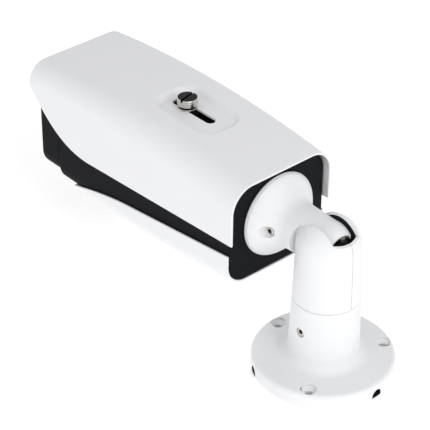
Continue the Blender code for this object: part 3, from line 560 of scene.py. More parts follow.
white_coat = powder_coat(
    "white_powder_coat", (0.825, 0.83, 0.838), (0.80, 0.805, 0.817), 0.44, 0.9, 0.035, 0.45)
black_coat = powder_coat(
    "black_powder_coat", (0.007, 0.0075, 0.009), (0.011, 0.0115, 0.0135), 0.58, 0.6, 0.05, 0.05)
# A near-black coat laid on as painted shade inside the flange's notches, the fork's slot and the arm's bore.
painted_shade_coat = powder_coat(
    "painted_shade_dark_coat", (0.011, 0.012, 0.015), (0.018, 0.019, 0.023), 0.6, 0.7, 0.03, 0.1)
steel = turned_steel("nickel_steel", (0.72, 0.70, 0.66), (0.55, 0.53, 0.49), 0.25)
# Black oxide steel, also laid on the screws as painted shade and a painted dark reflection.
black_oxide_and_painted_shade = turned_steel("dark_steel_and_painted_shade", (0.022, 0.022, 0.024), (0.04, 0.04, 0.042), 0.5)
rubber = moulded_rubber("black_rubber", (0.014, 0.014, 0.015))
green_board = circuit_board("green_circuit_board", (0.010, 0.10, 0.045), (0.05, 0.28, 0.10))
black_board = circuit_board("black_circuit_board", (0.010, 0.011, 0.012), (0.05, 0.05, 0.055))
alloy = brushed_alloy("machined_alloy", (0.66, 0.67, 0.68), (0.48, 0.49, 0.50))
# A dark alloy for the roll spigot: painted shade down the arm's bore.
spigot_painted_shade_alloy = brushed_alloy("painted_shade_dark_alloy", (0.03, 0.03, 0.033), (0.016, 0.016, 0.018))
window_glass = smoked_glass()
lens_glass = coated_glass("coated_lens_glass", (0.030, 0.012, 0.055))
lamp = lamp_plastic()


# ---- shapes that several pieces share ----
def post_r(z):
    """The radius of the collar and the post: one slight taper from foot to dome."""
    if z < SEAM_Z:
        return COLLAR_FOOT_R + (COLLAR_TOP_R - COLLAR_FOOT_R) * (z - FLANGE_H) / (SEAM_Z - FLANGE_H)
    return COLLAR_TOP_R + (DOME_R - COLLAR_TOP_R) * (z - SEAM_Z) / (TILT_Z - SEAM_Z)


def along(y):
    """0 at the sunshield's rear edge and 1 at its front lip."""
    return (y - SHIELD_REAR_Y) / (SHIELD_FRONT_Y - SHIELD_REAR_Y)


def shield_top(y):
    """The sunshield's outer top: a shallow arch through its rear, middle and front heights."""
    s = along(y)
    rear = SHIELD_TOP_REAR * (1 - s) * (1 - 2 * s)
    return rear + 4 * SHIELD_TOP_MID * s * (1 - s) + SHIELD_TOP_FRONT * s * (2 * s - 1)


def shield_edge(y):
    """The sunshield's lower side edge: nearly level, then swept up to the lip."""
    rear, middle, turn, rise = 85.2, 77.7, 0.70, 33.0
    s = along(y)
    line = rear + (middle - rear) * min(s / turn, 1.0)
    lift = max(s - turn, 0.0) / (1.0 - turn)
    return line + rise * lift ** 2.3


def housing_bottom(y):
    """The underside falls away from the rear face and levels off toward the front."""
    rear, front, reach = 53.2, 45.9, 105.0
    s = min((REAR_Y - y) / reach, 1.0)
    return rear + (front - rear) * (2 * s - s * s)


def cover_edge(y):
    """The lower cover's upper edge: straight, then curving down to its front tip."""
    rear, bend, tip, bend_y = 75.5, 63.9, 47.6, -148.0
    if y > bend_y:
        return rear + (bend - rear) * (REAR_Y - y) / (REAR_Y - bend_y)
    s = (bend_y - y) / (bend_y - COVER_FRONT_Y)
    return bend - 9.5 * s - (bend - 9.5 - tip) * s ** 3.2


def spaced(start, end, step):
    """Evenly spaced values from start to end, about a step apart."""
    count = max(1, round(abs(end - start) / step))
    return [start + (end - start) * i / count for i in range(count + 1)]


def rounded_ends(y_rear, y_front, rear_r, front_r, loop_at, middle):
    """Loops of a body whose two end edges are rounded; loop_at takes y and an inset."""
    loops = []
    for t in (0, 22.5, 45, 67.5, 90):
        a = math.radians(t)
        y = y_rear - rear_r * (1 - math.cos(a))
        loops.append(at_y(loop_at(y, rear_r * (1 - math.sin(a))), y))
    loops += [at_y(loop_at(y, 0.0), y) for y in middle]
    for t in (90, 67.5, 45, 22.5, 0):
        a = math.radians(t)
        y = y_front + front_r * (1 - math.cos(a))
        loops.append(at_y(loop_at(y, front_r * (1 - math.sin(a))), y))
    return loops


# ---- the base ----
def hole_spot(k):
    a = math.radians(PATTERN_TURN + 120 * k)
    return (HOLE_PCD_R * math.cos(a), HOLE_PCD_R * math.sin(a), 0)


def near_hole(point):
    return any(math.dist(point.xy, hole_spot(k)[:2]) < HOLE_HEAD_R + 0.5 for k in range(3))


def base_flange():
    fillet_z = FLANGE_H + COLLAR_FILLET
    foot_r = post_r(fillet_z) + COLLAR_FILLET
    top = SEAM_Z - GAP / 2
    under = FLANGE_H - FLANGE_FLOOR_H
    line = arc(post_r(top) - 0.4, top - 0.4, 0.4, 90, 0, 4)
    line += arc(foot_r, fillet_z, COLLAR_FILLET, 180, 270, 12)
    line += arc(FLANGE_R - FLANGE_EDGE_R, FLANGE_H - FLANGE_EDGE_R, FLANGE_EDGE_R, 90, 0, 10)
    line += arc(FLANGE_R - 0.5, 0.5, 0.5, 0, -90, 3)
    line += [(GASKET_R1, 0.0), (GASKET_R1, under), (GASKET_R0, under), (GASKET_R0, 0.0)]
    line += [(COLLAR_BORE_R - 1.5, 0.0), (COLLAR_BORE_R - 1.5, SEAM_Z - SPIGOT_LENGTH - 2.0)]
    line += [(COLLAR_BORE_R, SEAM_Z - SPIGOT_LENGTH - 2.0), (COLLAR_BORE_R, top)]
    flange = turned("flange_and_collar", line, steps=144)
    cutters = []
    for k in range(3):
        a = math.radians(PATTERN_TURN + 120 * k)
        seat = FLANGE_H - HOLE_HEAD_DEPTH
        line = [(0.0, FLANGE_H + 1), (HOLE_HEAD_R, FLANGE_H + 1), (HOLE_HEAD_R, seat + 1.2)]
        line += [(HOLE_R, seat - 0.6), (HOLE_R, -1.0), (0.0, -1.0)]
        cutters.append(turned("hole_%d" % (k + 1), line, hole_spot(k), steps=48))
        arch = [(-NOTCH_W / 2, -1.0), (NOTCH_W / 2, -1.0)]
        arch += arc(0, NOTCH_H - NOTCH_W / 2, NOTCH_W / 2, 0, 180, 14)
        notch = skin("notch_%d" % (k + 1), [at_y(arch, FLANGE_R - NOTCH_DEPTH), at_y(arch, FLANGE_R + 2)])
        notch.data.transform(Matrix.Rotation(a + math.radians(60) - math.pi / 2, 4, "Z"))
        cutters.append(notch)
    spot = (0, 0, PAN_LOCK_Z)
    cutters.append(drum("pan_lock_hole", LOCK_R + SCREW_GAP, COLLAR_BORE_R - 2, FLANGE_R, spot, "X"))
    cut(flange, *cutters)
    soften(flange, 0.3)

    def choose(centre, normal):
        """The drain notches' inside gets the dark coat: painted shade."""
        reach = math.hypot(centre.x, centre.y)
        in_notch = GASKET_R1 + 1 < reach < FLANGE_R - 0.45 and 0.01 < centre.z < NOTCH_H + 0.01
        return 1 if in_notch and not near_hole(centre) else 0

    finish_piece(flange, "base", ["base_flange"], [white_coat, painted_shade_coat], choose)


def set_screw(name, node, body, at, axis, side):
    """A set screw with a hex socket and a chamfered mouth; at is its outer end."""
    outer = 0.0
    inner = -side * LOCK_LENGTH
    line = [(0.0, outer), (LOCK_R - 0.5, outer), (LOCK_R, outer - side * 0.5)]
    line += [(LOCK_R, inner + side * 0.8), (LOCK_R - 0.8, inner), (0.0, inner)]
    screw = turned(name, line, at, axis, 48)
    low, high = sorted((side * 1.0, -side * LOCK_SOCKET_DEPTH))
    cut(screw, drum(name + "_socket", LOCK_SOCKET_R, low, high, at, axis, 6))
    soften(screw, 0.12, 2)

    # Faces inside the hex socket get the dark steel: painted shade in the socket.
    def choose(centre, normal):
        offset = centre - Vector(at)
        along_axis = offset.x if axis == "X" else offset.y
        return 1 if offset.length < LOCK_SOCKET_R + 1.2 and side * along_axis < -0.9 else 0

    finish_piece(screw, body, [node], [steel, black_oxide_and_painted_shade], choose)


# ---- the fork ----
def half_post(name, cavity_r):
    low = SEAM_Z + GAP / 2
    line = arc(0.0, TILT_Z, DOME_R, 90, 0, 30)
    line[0] = (0.0, TILT_Z + DOME_R)
    line += arc(post_r(low) - 0.35, low + 0.35, 0.35, 0, -90, 3)
    line += [(cavity_r, low), (cavity_r, POST_CAVITY_TOP), (BORE_R - 1.5, POST_CAVITY_TOP)]
    line += [(BORE_R - 1.5, POST_CAVITY_TOP + 5), (0.0, POST_CAVITY_TOP + 5)]
    return turned(name, line, steps=144)


def slot_cutters():
    x0, x1 = SLOT_X - SLOT_HALF, SLOT_X + SLOT_HALF
    sweep = NECK_R + 0.6
    far = DOME_R + 5
    up = TILT_Z + far
    turns = [math.degrees(math.acos(x / REAR_WALL_R)) for x in (x1, x0)]
    outline = [(x0, -0.1), (x1, -0.1)] + arc(0, 0, REAR_WALL_R, turns[0], turns[1], 30)
    sill = TILT_Z + SILL_ABOVE_TILT
    side = [(0.0, sill + SILL_SLOPE * SILL_Y), (far, sill - SILL_SLOPE * (far - SILL_Y))]
    side += [(far, up), (0.0, up)]
    return [
        drum("slot_round", sweep, x0, x1, (0, 0, TILT_Z), "X", 96),
        block("slot_front", (x0, -far, TILT_Z - sweep), (x1, 0.1, up)),
        skin("slot_rise", [at_z(outline, TILT_Z), at_z(outline, up)]),
        skin("slot_top", [[(x, y, z) for y, z in side] for x in (x0, x1)]),
    ]


def fork():
    inner = post_r(SEAM_Z) - POST_WALL
    left_wall, right_wall = SLOT_X + SLOT_HALF, SLOT_X - SLOT_HALF
    pivot = (0, 0, TILT_Z)
    side = 2 * DOME_R
    body = half_post("fork_left_half", inner - 0.8)
    cut(body, block("right_half", (-side, -side, 0), (GAP / 2, side, 2 * TILT_Z)), *slot_cutters())
    cover = half_post("fork_right_half", inner)
    cut(cover, block("left_half", (-GAP / 2, -side, 0), (side, side, 2 * TILT_Z)), *slot_cutters())
    cutters = [[], []]
    for k, y in enumerate((FORK_SCREW_Y, -FORK_SCREW_Y)):
        spot = (0, y, FORK_SCREW_Z)
        reach = math.sqrt(inner ** 2 - y ** 2) + 0.6
        join(body, drum("boss_body_%d" % k, 4.1, GAP / 2, reach, spot, "X"))
        join(cover, drum("boss_cover_%d" % k, 4.1, -reach, -GAP / 2, spot, "X"))
        for owner in cutters:
            owner.append(drum("screw_hole_%d" % k, M3_R + SCREW_GAP, -12.5, 9.0, spot, "X", 32))
        cutters[1].append(drum("screw_seat_%d" % k, 2.75 + SCREW_GAP, -side, -10.5, spot, "X", 40))
    hole_r = PIN_R + SCREW_GAP / 2
    cutters[0].append(drum("pin_hole_left", hole_r, 0.0, left_wall + PIN_CHEEK_DEPTH, pivot, "X"))
    cutters[1].append(drum("pin_hole_right", hole_r, right_wall - PIN_CHEEK_DEPTH, 0.0, pivot, "X"))
    lock = (0, 0, TILT_LOCK_Z)
    cutters[1].append(drum("tilt_lock_hole", LOCK_R + SCREW_GAP, -side, right_wall + 1, lock, "X"))
    line = [(CHEEK_LIP_R, right_wall), (CHEEK_LIP_R, right_wall + 1)]
    line += [(side, right_wall + 1), (side, right_wall - 7.8)]
    lip = turned("cheek_lip", line, pivot, "X", 144)
    cut(lip, block("lower_half", (-side, -side, 0), (side, side, TILT_Z + SILL_ABOVE_TILT - 0.9)))
    cutters[1].append(lip)
    cut(body, *cutters[0])
    cut(cover, *cutters[1])
    weld(body, 0.08)
    weld(cover, 0.08)
    r = COLLAR_BORE_R - GAP
    foot = SEAM_Z - SPIGOT_LENGTH
    line = [(inner - GAP, SEAM_Z + 4.0), (inner - GAP, SEAM_Z + GAP / 2), (r, SEAM_Z + GAP / 2)]
    high, low = RING_GROOVE_Z + RING_GROOVE_HALF, RING_GROOVE_Z - RING_GROOVE_HALF
    floor = r - RING_GROOVE_DEPTH
    line += [(r, high), (floor, high), (floor, low), (r, low)]
    floor = r - LOCK_GROOVE_DEPTH
    line += [(r, PAN_LOCK_Z + LOCK_GROOVE_WIDE), (floor, PAN_LOCK_Z + LOCK_GROOVE_NARROW)]
    line += [(floor, PAN_LOCK_Z - LOCK_GROOVE_NARROW), (r, PAN_LOCK_Z - LOCK_GROOVE_WIDE)]
    line += [(r, foot), (r - PAN_SPIGOT_WALL, foot), (r - PAN_SPIGOT_WALL, SEAM_Z + 4.0)]
    join(body, turned("pan_spigot", line, steps=96))

    def at_seam(middle):
        return abs(middle.x) < 0.3

    soften(body, 0.2, 2, leave=at_seam)
    soften(cover, 0.2, 2, leave=at_seam)

    def inside(centre, normal):
        """The right cheek's slot wall and the bore get the dark coat: painted shade."""
        if at_seam(centre):
            return 0
        in_slot = right_wall - 0.1 < centre.x < left_wall + 0.1 and centre.z > TILT_Z - NECK_R - 1.5
        reach = math.hypot(centre.x, centre.y)
        bore = reach < 14.0 and centre.z < TILT_Z + SILL_ABOVE_TILT - 0.4
        wall = in_slot and abs(normal.x) > 0.9 and centre.x < 0
        return 1 if bore or wall else 0

    finish_piece(body, "fork", ["fork_body"], [white_coat, painted_shade_coat], inside)
    finish_piece(cover, "fork", ["fork_cover"], [white_coat, painted_shade_coat], inside)


# ---- the arm ----
def arm():
    """The dish, the neck and the tongue are one hollow casting."""
    centre = (0, 0, TILT_Z)
    line = [(TONGUE_BORE_R - 0.6, TONGUE_END_Y)]
    line += [(math.sqrt(NECK_R ** 2 - y * y), y) for y in spaced(TONGUE_END_Y, 0.0, 0.8)]
    line += smooth_curve([(NECK_R, -20.0), (NECK_R + 0.1, -23.5), (NECK_R + 0.4, -26.5), (16.75, -29.9),
                          (18.4, -32.4), (20.6, -35.0), (23.4, -37.9), (25.8, -40.3), (27.0, -41.7)])
    line += [(27.45, -42.3), (27.62, -42.75), (27.5, -42.95), (27.75, -43.1)]
    line += [(DISH_R, -43.45), (DISH_R, -44.3), (27.7, DISH_FRONT_Y)]
    groove = DISH_FRONT_Y + SEAL_T
    line += [(SEAL_R1, DISH_FRONT_Y), (SEAL_R1, groove), (SEAL_R0, groove), (SEAL_R0, DISH_FRONT_Y)]
    bore_r = SPIGOT_R + GAP
    line += [(bore_r, DISH_FRONT_Y), (bore_r, -27.4), (BORE_R, -27.4), (BORE_R, -22.6)]
    line += [(TONGUE_BORE_R - 0.6, -22.6)]
    made = turned("dish_neck_and_tongue", line, centre, "Y", 144)

    out = 2 * NECK_R
    outline = [(-NECK_STEP_R, -out), (-NECK_STEP_R, 0.0)] + arc(0, 0, NECK_STEP_R, 180, 90, 24)[1:]
    outline += [(out, NECK_STEP_R), (out, -out)]
    cutters = []
    for label, wall, far in (("left", SLOT_X + TONGUE_HALF, out), ("right", SLOT_X - TONGUE_HALF, -out)):
        loops = [[(x, y, TILT_Z + z) for y, z in outline] for x in sorted((wall, far))]
        cutters.append(skin("flat_" + label, loops))
    cut(made, *cutters)

    half = TONGUE_HALF - TONGUE_WALL + 0.9
    r = TONGUE_BORE_R
    rise = math.degrees(math.acos((SLOT_X + half) / r))
    rise_right = math.degrees(math.acos((SLOT_X - half) / r))
    section = arc(0, TILT_Z, r, rise, rise_right, 24) + arc(0, TILT_Z, r, -rise_right, -rise, 24)
    hollow = skin("tongue_hollow", [at_y(section, -24.0), at_y(section, out)])
    half -= 0.9
    low = (SLOT_X - half + 1.0, -6.0, TILT_Z - out)
    opening = block("cable_opening", low, (SLOT_X + half - 1.0, out, TILT_Z - 1.0))
    bore_r, recess_r = PIN_R + SCREW_GAP, WASHER_R + GAP
    left = SLOT_X + TONGUE_HALF - WASHER_RECESS
    right = SLOT_X - TONGUE_HALF + WASHER_RECESS
    line = [(0.0, out), (recess_r, out), (recess_r, left), (bore_r, left), (bore_r, right)]
    line += [(recess_r, right), (recess_r, -out), (0.0, -out)]
    pivot = turned("pivot_bore", line, centre, "X", 64)
    hole_r, floor = LOCK_R + SCREW_GAP, ROLL_LOCK_X - 0.6
    line = [(0.0, out), (ROLL_LOCK_HEAD_R, out), (ROLL_LOCK_HEAD_R, floor)]
    line += [(hole_r, floor), (hole_r, 5.0), (0.0, 5.0)]
    lock = turned("roll_lock_hole", line, (0, ROLL_LOCK_Y, TILT_Z), "X", 48)
    cut(made, hollow, opening, pivot, lock)
    weld(made, 0.08)

    def at_step_tip(middle):
        return -22.0 < middle.y < -9.0 and middle.z > TILT_Z + 7.0

    soften(made, 0.3, 2, leave=at_step_tip)

    def choose(point, normal):
        """The cable's way through the casting gets the dark coat: painted shade."""
        reach = math.hypot(point.x, point.z - TILT_Z)
        in_neck = reach < 11.5 and point.y < -20.0
        in_tongue = reach < 11.0 and point.y < TONGUE_END_Y - 0.5 and abs(point.x - SLOT_X) < 7.8
        return 1 if in_neck or in_tongue else 0

    finish_piece(made, "arm", ["swivel_arm"], [white_coat, painted_shade_coat], choose)


# ---- the camera body ----
def bezel_corners():
    x = BEZEL_HALF - BEZEL_SCREW_INSET
    high, low = BEZEL_TOP - BEZEL_SCREW_INSET, BEZEL_BOTTOM + BEZEL_SCREW_INSET
    return [(x, high), (-x, high), (-x, low), (x, low)]


def housing():
    def section(y, inset):
        low, top = housing_bottom(y) + inset, HOUSING_TOP - inset
        return rounded(HOUSING_HALF - inset, low, top, BOTTOM_CORNER_R - inset, TOP_CORNER_R - inset, 14)

    middle = spaced(-49.0, -148.0, 6.0) + spaced(-160.0, -209.0, 12.0)
    shell = skin("camera_housing", rounded_ends(REAR_Y, HOUSING_FRONT_Y, 0.7, 0.5, section, middle))
    w = HOUSING_WALL
    ys = [REAR_Y - w] + spaced(-55.0, -150.0, 12.0) + [HOUSING_FRONT_Y - 5]
    cavity = skin("housing_cavity", [at_y(section(y, w), y) for y in ys])
    hole = drum("spigot_hole", SPIGOT_R + SCREW_GAP, REAR_Y - 10, REAR_Y + 5, (0, 0, TILT_Z), "Y")
    cut(shell, cavity, hole)
    top = PAD_Z - PAD_T - GAP
    spot = (0, THUMB_Y, 0)
    join(shell, drum("thumb_boss", 7.0, 105.0, top, spot))
    cut(shell, drum("thumb_thread", THUMB_SHAFT_R + SCREW_GAP, 107.0, top + 5, spot))
    for k, (x, z) in enumerate(bezel_corners()):
        near, deep = HOUSING_FRONT_Y + BEZEL_BOSS_BACK, HOUSING_FRONT_Y + 16
        join(shell, drum("bezel_boss_%d" % k, BEZEL_BOSS_R, near, deep, (x, 0, z), "Y", 32))
    finish_piece(shell, "camera", ["housing"], [black_coat])


def channel_line(half, bottom, radius, edge_z):
    """One side of a channel from its upper edge to the middle of its floor, evenly spaced."""
    count = 44
    corner_z = bottom + radius
    start = 0.0 if edge_z >= corner_z else -math.asin((corner_z - edge_z) / radius)
    side = max(edge_z - corner_z, 0.0)
    bend = radius * (math.pi / 2 + start)
    flat = half - radius
    points = []
    for i in range(count + 1):
        d = (side + bend + flat) * i / count
        if d < side:
            points.append((half, edge_z - d))
        elif d < side + bend:
            a = start - (d - side) / radius
            points.append((half - radius + radius * math.cos(a), corner_z + radius * math.sin(a)))
        else:
            points.append((half - radius - (d - side - bend), bottom))
    return points


def lower_cover():
    ys = spaced(REAR_Y, -150.0, 6.0) + spaced(-150.0, COVER_FRONT_Y, 2.2)[1:]
    outers, inners = [], []
    for lines, grow in ((outers, COVER_GAP + COVER_T), (inners, COVER_GAP)):
        for y in ys:
            low = housing_bottom(y) - grow
            half = channel_line(HOUSING_HALF + grow, low, BOTTOM_CORNER_R + grow, cover_edge(y))
            lines.append(at_y(half + [(-x, z) for x, z in reversed(half[:-1])], y))
    cover = thin_shell("white_lower_cover", outers, inners)
    cutters = []
    for k, y in enumerate(COVER_SCREW_YS):
        face = housing_bottom(y) - COVER_GAP - COVER_T
        line = [(0.0, face + 5), (M3_R + SCREW_GAP, face + 5), (M3_R + SCREW_GAP, face + 0.45)]
        line += [(2.8 + SCREW_GAP, face + 0.45), (2.8 + SCREW_GAP, face - 5), (0.0, face - 5)]
        cutters.append(turned("cover_hole_%d" % k, line, (0, y, 0), steps=32))
    soften(cover, 0.35, 3, 50.0)
    cut(cover, *cutters)
    finish_piece(cover, "camera", ["lower_cover"], [white_coat])


def window_outline(grow):
    r = WINDOW_CORNER_R + grow
    low, high = LENS_Z - WINDOW_HALF_H - grow, LENS_Z + WINDOW_HALF_H + grow
    return rounded(WINDOW_HALF_W + grow, low, high, r, r, 12)


def front():
    def section(y, inset):
        r = BEZEL_CORNER_R - inset
        return rounded(BEZEL_HALF - inset, BEZEL_BOTTOM + inset, BEZEL_TOP - inset, r, r, 14)

    face = BEZEL_FRONT_Y
    bezel = skin("front_frame", rounded_ends(BEZEL_BACK_Y, face, 0.4, 1.5, section, [-218.0, -226.0]))
    seat = face + 0.6 + WINDOW_T + GAP + 1.2
    line = window_outline(GAP)
    pocket = skin("window_pocket", [at_y(line, face - 5), at_y(line, seat)])
    line = window_outline(GAP - WINDOW_LEDGE)
    opening = skin("frame_opening", [at_y(line, face - 5), at_y(line, BEZEL_BACK_Y + 5)])
    cut(bezel, pocket, opening)
    for k, (x, z) in enumerate(bezel_corners()):
        line = [(0.0, BEZEL_BACK_Y + 5), (M3_R + SCREW_GAP, BEZEL_BACK_Y + 5), (M3_R + SCREW_GAP, face + 4.5)]
        line += [(2.7 + SCREW_GAP, face + 4.5), (2.7 + SCREW_GAP, face - 5), (0.0, face - 5)]
        cut(bezel, turned("frame_hole_%d" % k, line, (x, 0, z), "Y", 40))
    soften(bezel, 0.3, 2)
    finish_piece(bezel, "camera", ["front_bezel"], [black_coat])

    line = window_outline(0.0)
    pane = skin("window_pane", [at_y(line, face + 0.6), at_y(line, face + 0.6 + WINDOW_T)])
    soften(pane, 0.35, 2)
    finish_piece(pane, "camera", ["front_window"], [window_glass])
    y0, y1 = face + 0.6 + WINDOW_T + GAP / 2, seat - GAP / 2
    gasket = skin("window_seal", [at_y(line, y0), at_y(line, y1)])
    line = window_outline(0.6 - WINDOW_LEDGE)
    cut(gasket, skin("seal_opening", [at_y(line, y0 - 3), at_y(line, y1 + 3)]))
    soften(gasket, 0.25, 2)
    finish_piece(gasket, "camera", ["window_gasket"], [rubber])


def optics():
    centre = (0, 0, LENS_Z)
    line = rounded(26.5, LENS_Z - 24.5, LENS_Z + 24.5, 8, 8, 8)
    panel = skin("lamp_panel", [at_y(line, LAMP_BOARD_Y), at_y(line, LAMP_BOARD_Y + 1.6)])
    cut(panel, drum("panel_hole", 15.4, LAMP_BOARD_Y - 5, LAMP_BOARD_Y + 5, centre, "Y", 64))
    finish_piece(panel, "camera", ["ir_board"], [black_board])
    for k in range(6):
        a = math.radians(30 + 60 * k)
        spot = (LAMP_PCD_R * math.cos(a), 0, LENS_Z + LAMP_PCD_R * math.sin(a))
        y1 = LAMP_BOARD_Y - GAP / 2
        line = [(0.0, y1), (3.0, y1), (3.0, y1 - 1.0), (2.75, y1 - 1.25)]
        line += [(2.6 * math.cos(t), y1 - 1.3 - 2.1 * math.sin(t)) for t in (0.1, 0.35, 0.6, 0.85, 1.1, 1.35)]
        line += [(0.0, y1 - 3.4)]
        dome = turned("lamp_%d" % (k + 1), line, spot, "Y", 40)
        finish_piece(dome, "camera", ["ir_led_%d" % (k + 1)], [lamp])
    face = BEZEL_FRONT_Y + 0.6 + WINDOW_T + GAP
    line = [(15.0, LAMP_BOARD_Y + 12), (15.0, face + 0.3), (14.7, face), (14.1, face), (13.8, face + 0.3)]
    line += [(13.8, LAMP_BOARD_Y + 12)]
    shroud = turned("lens_hood", line, centre, "Y", 96)
    finish_piece(shroud, "camera", ["lens_shroud"], [rubber])
    tip = face + 2.0
    line = [(12.0, LENS_BACK_Y), (12.0, LENS_BACK_Y - 24.0), (13.0, LENS_BACK_Y - 27.0), (13.0, tip + 0.4)]
    line += [(12.6, tip), (11.4, tip)]
    line += [(11.2, tip + 0.8), (11.0, tip + 0.8), (10.9, tip + 1.8), (10.7, tip + 1.8), (10.6, tip + 2.8)]
    line += [(10.4, tip + 2.8), (10.2, tip + 4.0), (10.2, tip + 9.0), (8.0, tip + 9.0), (8.0, LENS_BACK_Y)]
    barrel = turned("lens_tube", line, centre, "Y", 96)
    finish_piece(barrel, "camera", ["lens_barrel"], [black_coat])
    y0 = tip + 9.0 - GAP
    r = 10.0
    line = [(0.0, y0), (r, y0), (r, y0 - 1.6)]
    line += [(r * math.cos(t), y0 - 1.6 - 3.0 * math.sin(t)) for t in (0.2, 0.4, 0.6, 0.8, 1.0, 1.2, 1.4)]
    line += [(0.0, y0 - 4.6)]
    element = turned("front_lens", line, centre, "Y", 80)
    finish_piece(element, "camera", ["lens_front_element"], [lens_glass])


# ---- the sunshield ----
def pad_mix(x, y):
    """1 on the pad's floor, 0 on the sheet round it, with a soft wall between."""
    half_l = (PAD_REAR_Y - PAD_FRONT_Y) / 2
    qx = abs(x) - (PAD_HALF_W - PAD_CORNER_R)
    qy = abs(y - (PAD_FRONT_Y + PAD_REAR_Y) / 2) - (half_l - PAD_CORNER_R)
    outside = math.hypot(max(qx, 0.0), max(qy, 0.0)) + min(max(qx, qy), 0.0) - PAD_CORNER_R
    t = min(max((1.9 - outside) / 3.0, 0.0), 1.0)
    return t * t * (3 - 2 * t)


def shield_section(y, shrink):
    """The sheet's cross-section from one lower edge to the other."""
    s = along(y)
    half = SHIELD_HALF + (SHIELD_FRONT_HALF - SHIELD_HALF) * s - shrink
    r = SHIELD_R_REAR + (SHIELD_R_FRONT - SHIELD_R_REAR) * s - shrink
    top = shield_top(y) - shrink
    low, high = shield_edge(y), top - r
    side = [(half, low + (high - low) * i / 10) for i in range(10)]
    line = side + arc(half - r, top - r, r, 0, 90, 16)
    edge = PAD_HALF_W + 3.0
    middle = [(half - r + (edge - half + r) * i / 4, top) for i in (1, 2, 3)]
    middle += [(x, top) for x in spaced(edge, 0.0, 0.62)]
    pressed = []
    floor = PAD_Z if shrink == 0.0 else PAD_Z - PAD_T
    for x, z in line + middle:
        depth = pad_mix(x, y) if z > top - 0.01 else 0.0
        pressed.append((x, z + (floor - z) * depth))
    return pressed + [(-x, z) for x, z in reversed(pressed[:-1])]


def shield():
    ys = spaced(SHIELD_REAR_Y, PAD_REAR_Y + 3.0, 3.0)
    ys += spaced(PAD_REAR_Y + 3.0, PAD_FRONT_Y - 3.0, 0.65)[1:]
    ys += spaced(PAD_FRONT_Y - 3.0, SHIELD_FRONT_Y + 12, 2.6)[1:]
    ys += spaced(SHIELD_FRONT_Y + 12, SHIELD_FRONT_Y, 1.2)[1:]
    outers = [at_y(shield_section(y, 0.0), y) for y in ys]
    inners = [at_y(shield_section(y, SHIELD_T), y) for y in ys]
    sheet = thin_shell("sunshield_sheet", outers, inners)
    soften(sheet, 0.45, 4, 55.0)
    bm = bmesh.new()
    bm.from_mesh(sheet.data)
    for level in (PAD_Z, PAD_Z - PAD_T):
        floor = [f for f in bm.faces if all(abs(v.co.z / MM - level) < 0.0005 for v in f.verts)]
        bmesh.ops.dissolve_faces(bm, faces=floor)
    bm.to_mesh(sheet.data)
    bm.free()
    r = SLOT_W / 2
    line = arc(0, SLOT_REAR_Y - r, r, 0, 180, 24) + arc(0, SLOT_FRONT_Y + r, r, 180, 360, 24)
    cut(sheet, skin("sliding_slot", [at_z(line, PAD_Z - 10), at_z(line, PAD_Z + 10)]))
    finish_piece(sheet, "sunshield", ["sun_shield"], [white_coat])


def thumb_screw():
    at = (0, THUMB_Y, PAD_Z)
    r0 = THUMB_SHAFT_R + SCREW_GAP
    line = [(r0, 0.15), (6.1, 0.15), (6.3, 0.35), (6.3, 0.85), (6.1, 1.05), (r0, 1.05)]
    flat = turned("flat_washer_disc", list(reversed(line)), at, steps=80)
    finish_piece(flat, "screw_washers", ["flat_washer"], [steel])
    line = [(r0, 1.2), (4.9, 1.2), (4.9, 2.3), (r0, 2.3)]
    spring = turned("spring_washer_ring", list(reversed(line)), at, steps=80)
    cut(spring, block("split", (0, THUMB_Y - 0.4, PAD_Z - 2), (10, THUMB_Y + 0.4, PAD_Z + 10)))
    soften(spring, 0.15, 2)
    finish_piece(spring, "screw_washers", ["spring_washer"], [black_oxide_and_painted_shade])
    low = 2.45
    top = low + THUMB_HEAD_H
    r = THUMB_HEAD_R
    line = [(0.0, top), (r - 0.9, top), (r - 0.35, top - 0.2), (r, top - 0.65), (r, top - 1.7)]
    line += [(r - 0.18, top - 1.9), (r, top - 2.1), (r, low + 0.5), (r - 0.5, low), (THUMB_SHAFT_R, low)]
    line += [(THUMB_SHAFT_R, low + 2.5 - 15.0), (0.0, low + 2.5 - 15.0)]
    screw = turned("thumb_screw", line, at, steps=96)
    slot = block("driver_slot", (-0.75, -10, top - 1.6), (0.75, 10, top + 5))
    slot.data.transform(Matrix.Rotation(SLOT_TURN, 4, "Z"))
    slot.data.transform(Matrix.Translation(Vector(at) * MM))
    cut(screw, slot)
    soften(screw, 0.12, 2)

    def choose(point, normal):
        """The head's top gets the dark steel as a painted dark reflection, and its driver slot as painted
        shade.
        """
        near_top = point.z > PAD_Z + top - 1.65
        within = math.hypot(point.x, point.y - THUMB_Y) < 5.9
        return 1 if near_top and (normal.z > 0.8 or within) else 0

    finish_piece(screw, "thumb_screw", ["shield_screw"], [steel, black_oxide_and_painted_shade], choose)


base_flange()
fork()
arm()
housing()
lower_cover()
front()
optics()
shield()
thumb_screw()
set_screw("pan_set_screw", "pan_lock_screw", "pan_lock", (post_r(PAN_LOCK_Z) - 0.9, 0, PAN_LOCK_Z), "X", 1)
tilt_lock_x = SLOT_X - SLOT_HALF - 0.1 - LOCK_LENGTH
set_screw("tilt_set_screw", "tilt_lock_screw", "tilt_lock", (tilt_lock_x, 0, TILT_LOCK_Z), "X", -1)
set_screw("roll_set_screw", "roll_lock_screw", "roll_lock", (ROLL_LOCK_X, ROLL_LOCK_Y, TILT_Z), "X", 1)

# ---- the finishes of the parts that keep their modelled shape ----
KEPT = {
    "white_paint": white_coat, "black_paint": black_coat, "rubber": rubber, "black_steel": black_oxide_and_painted_shade,
    "steel": steel, "alloy": alloy, "clear_glass": window_glass, "lens_glass": lens_glass,
    "board": green_board, "led": lamp,
}
for part in frame["record"]["subparts"]:
    node = frame["nodes"][part["node"]]
    node.data.materials.clear()
    # The roll spigot gets the dark alloy as painted shade down the arm's bore.
    node.data.materials.append(spigot_painted_shade_alloy if part["node"] == "roll_spigot" else KEPT[part["material_slot"]])

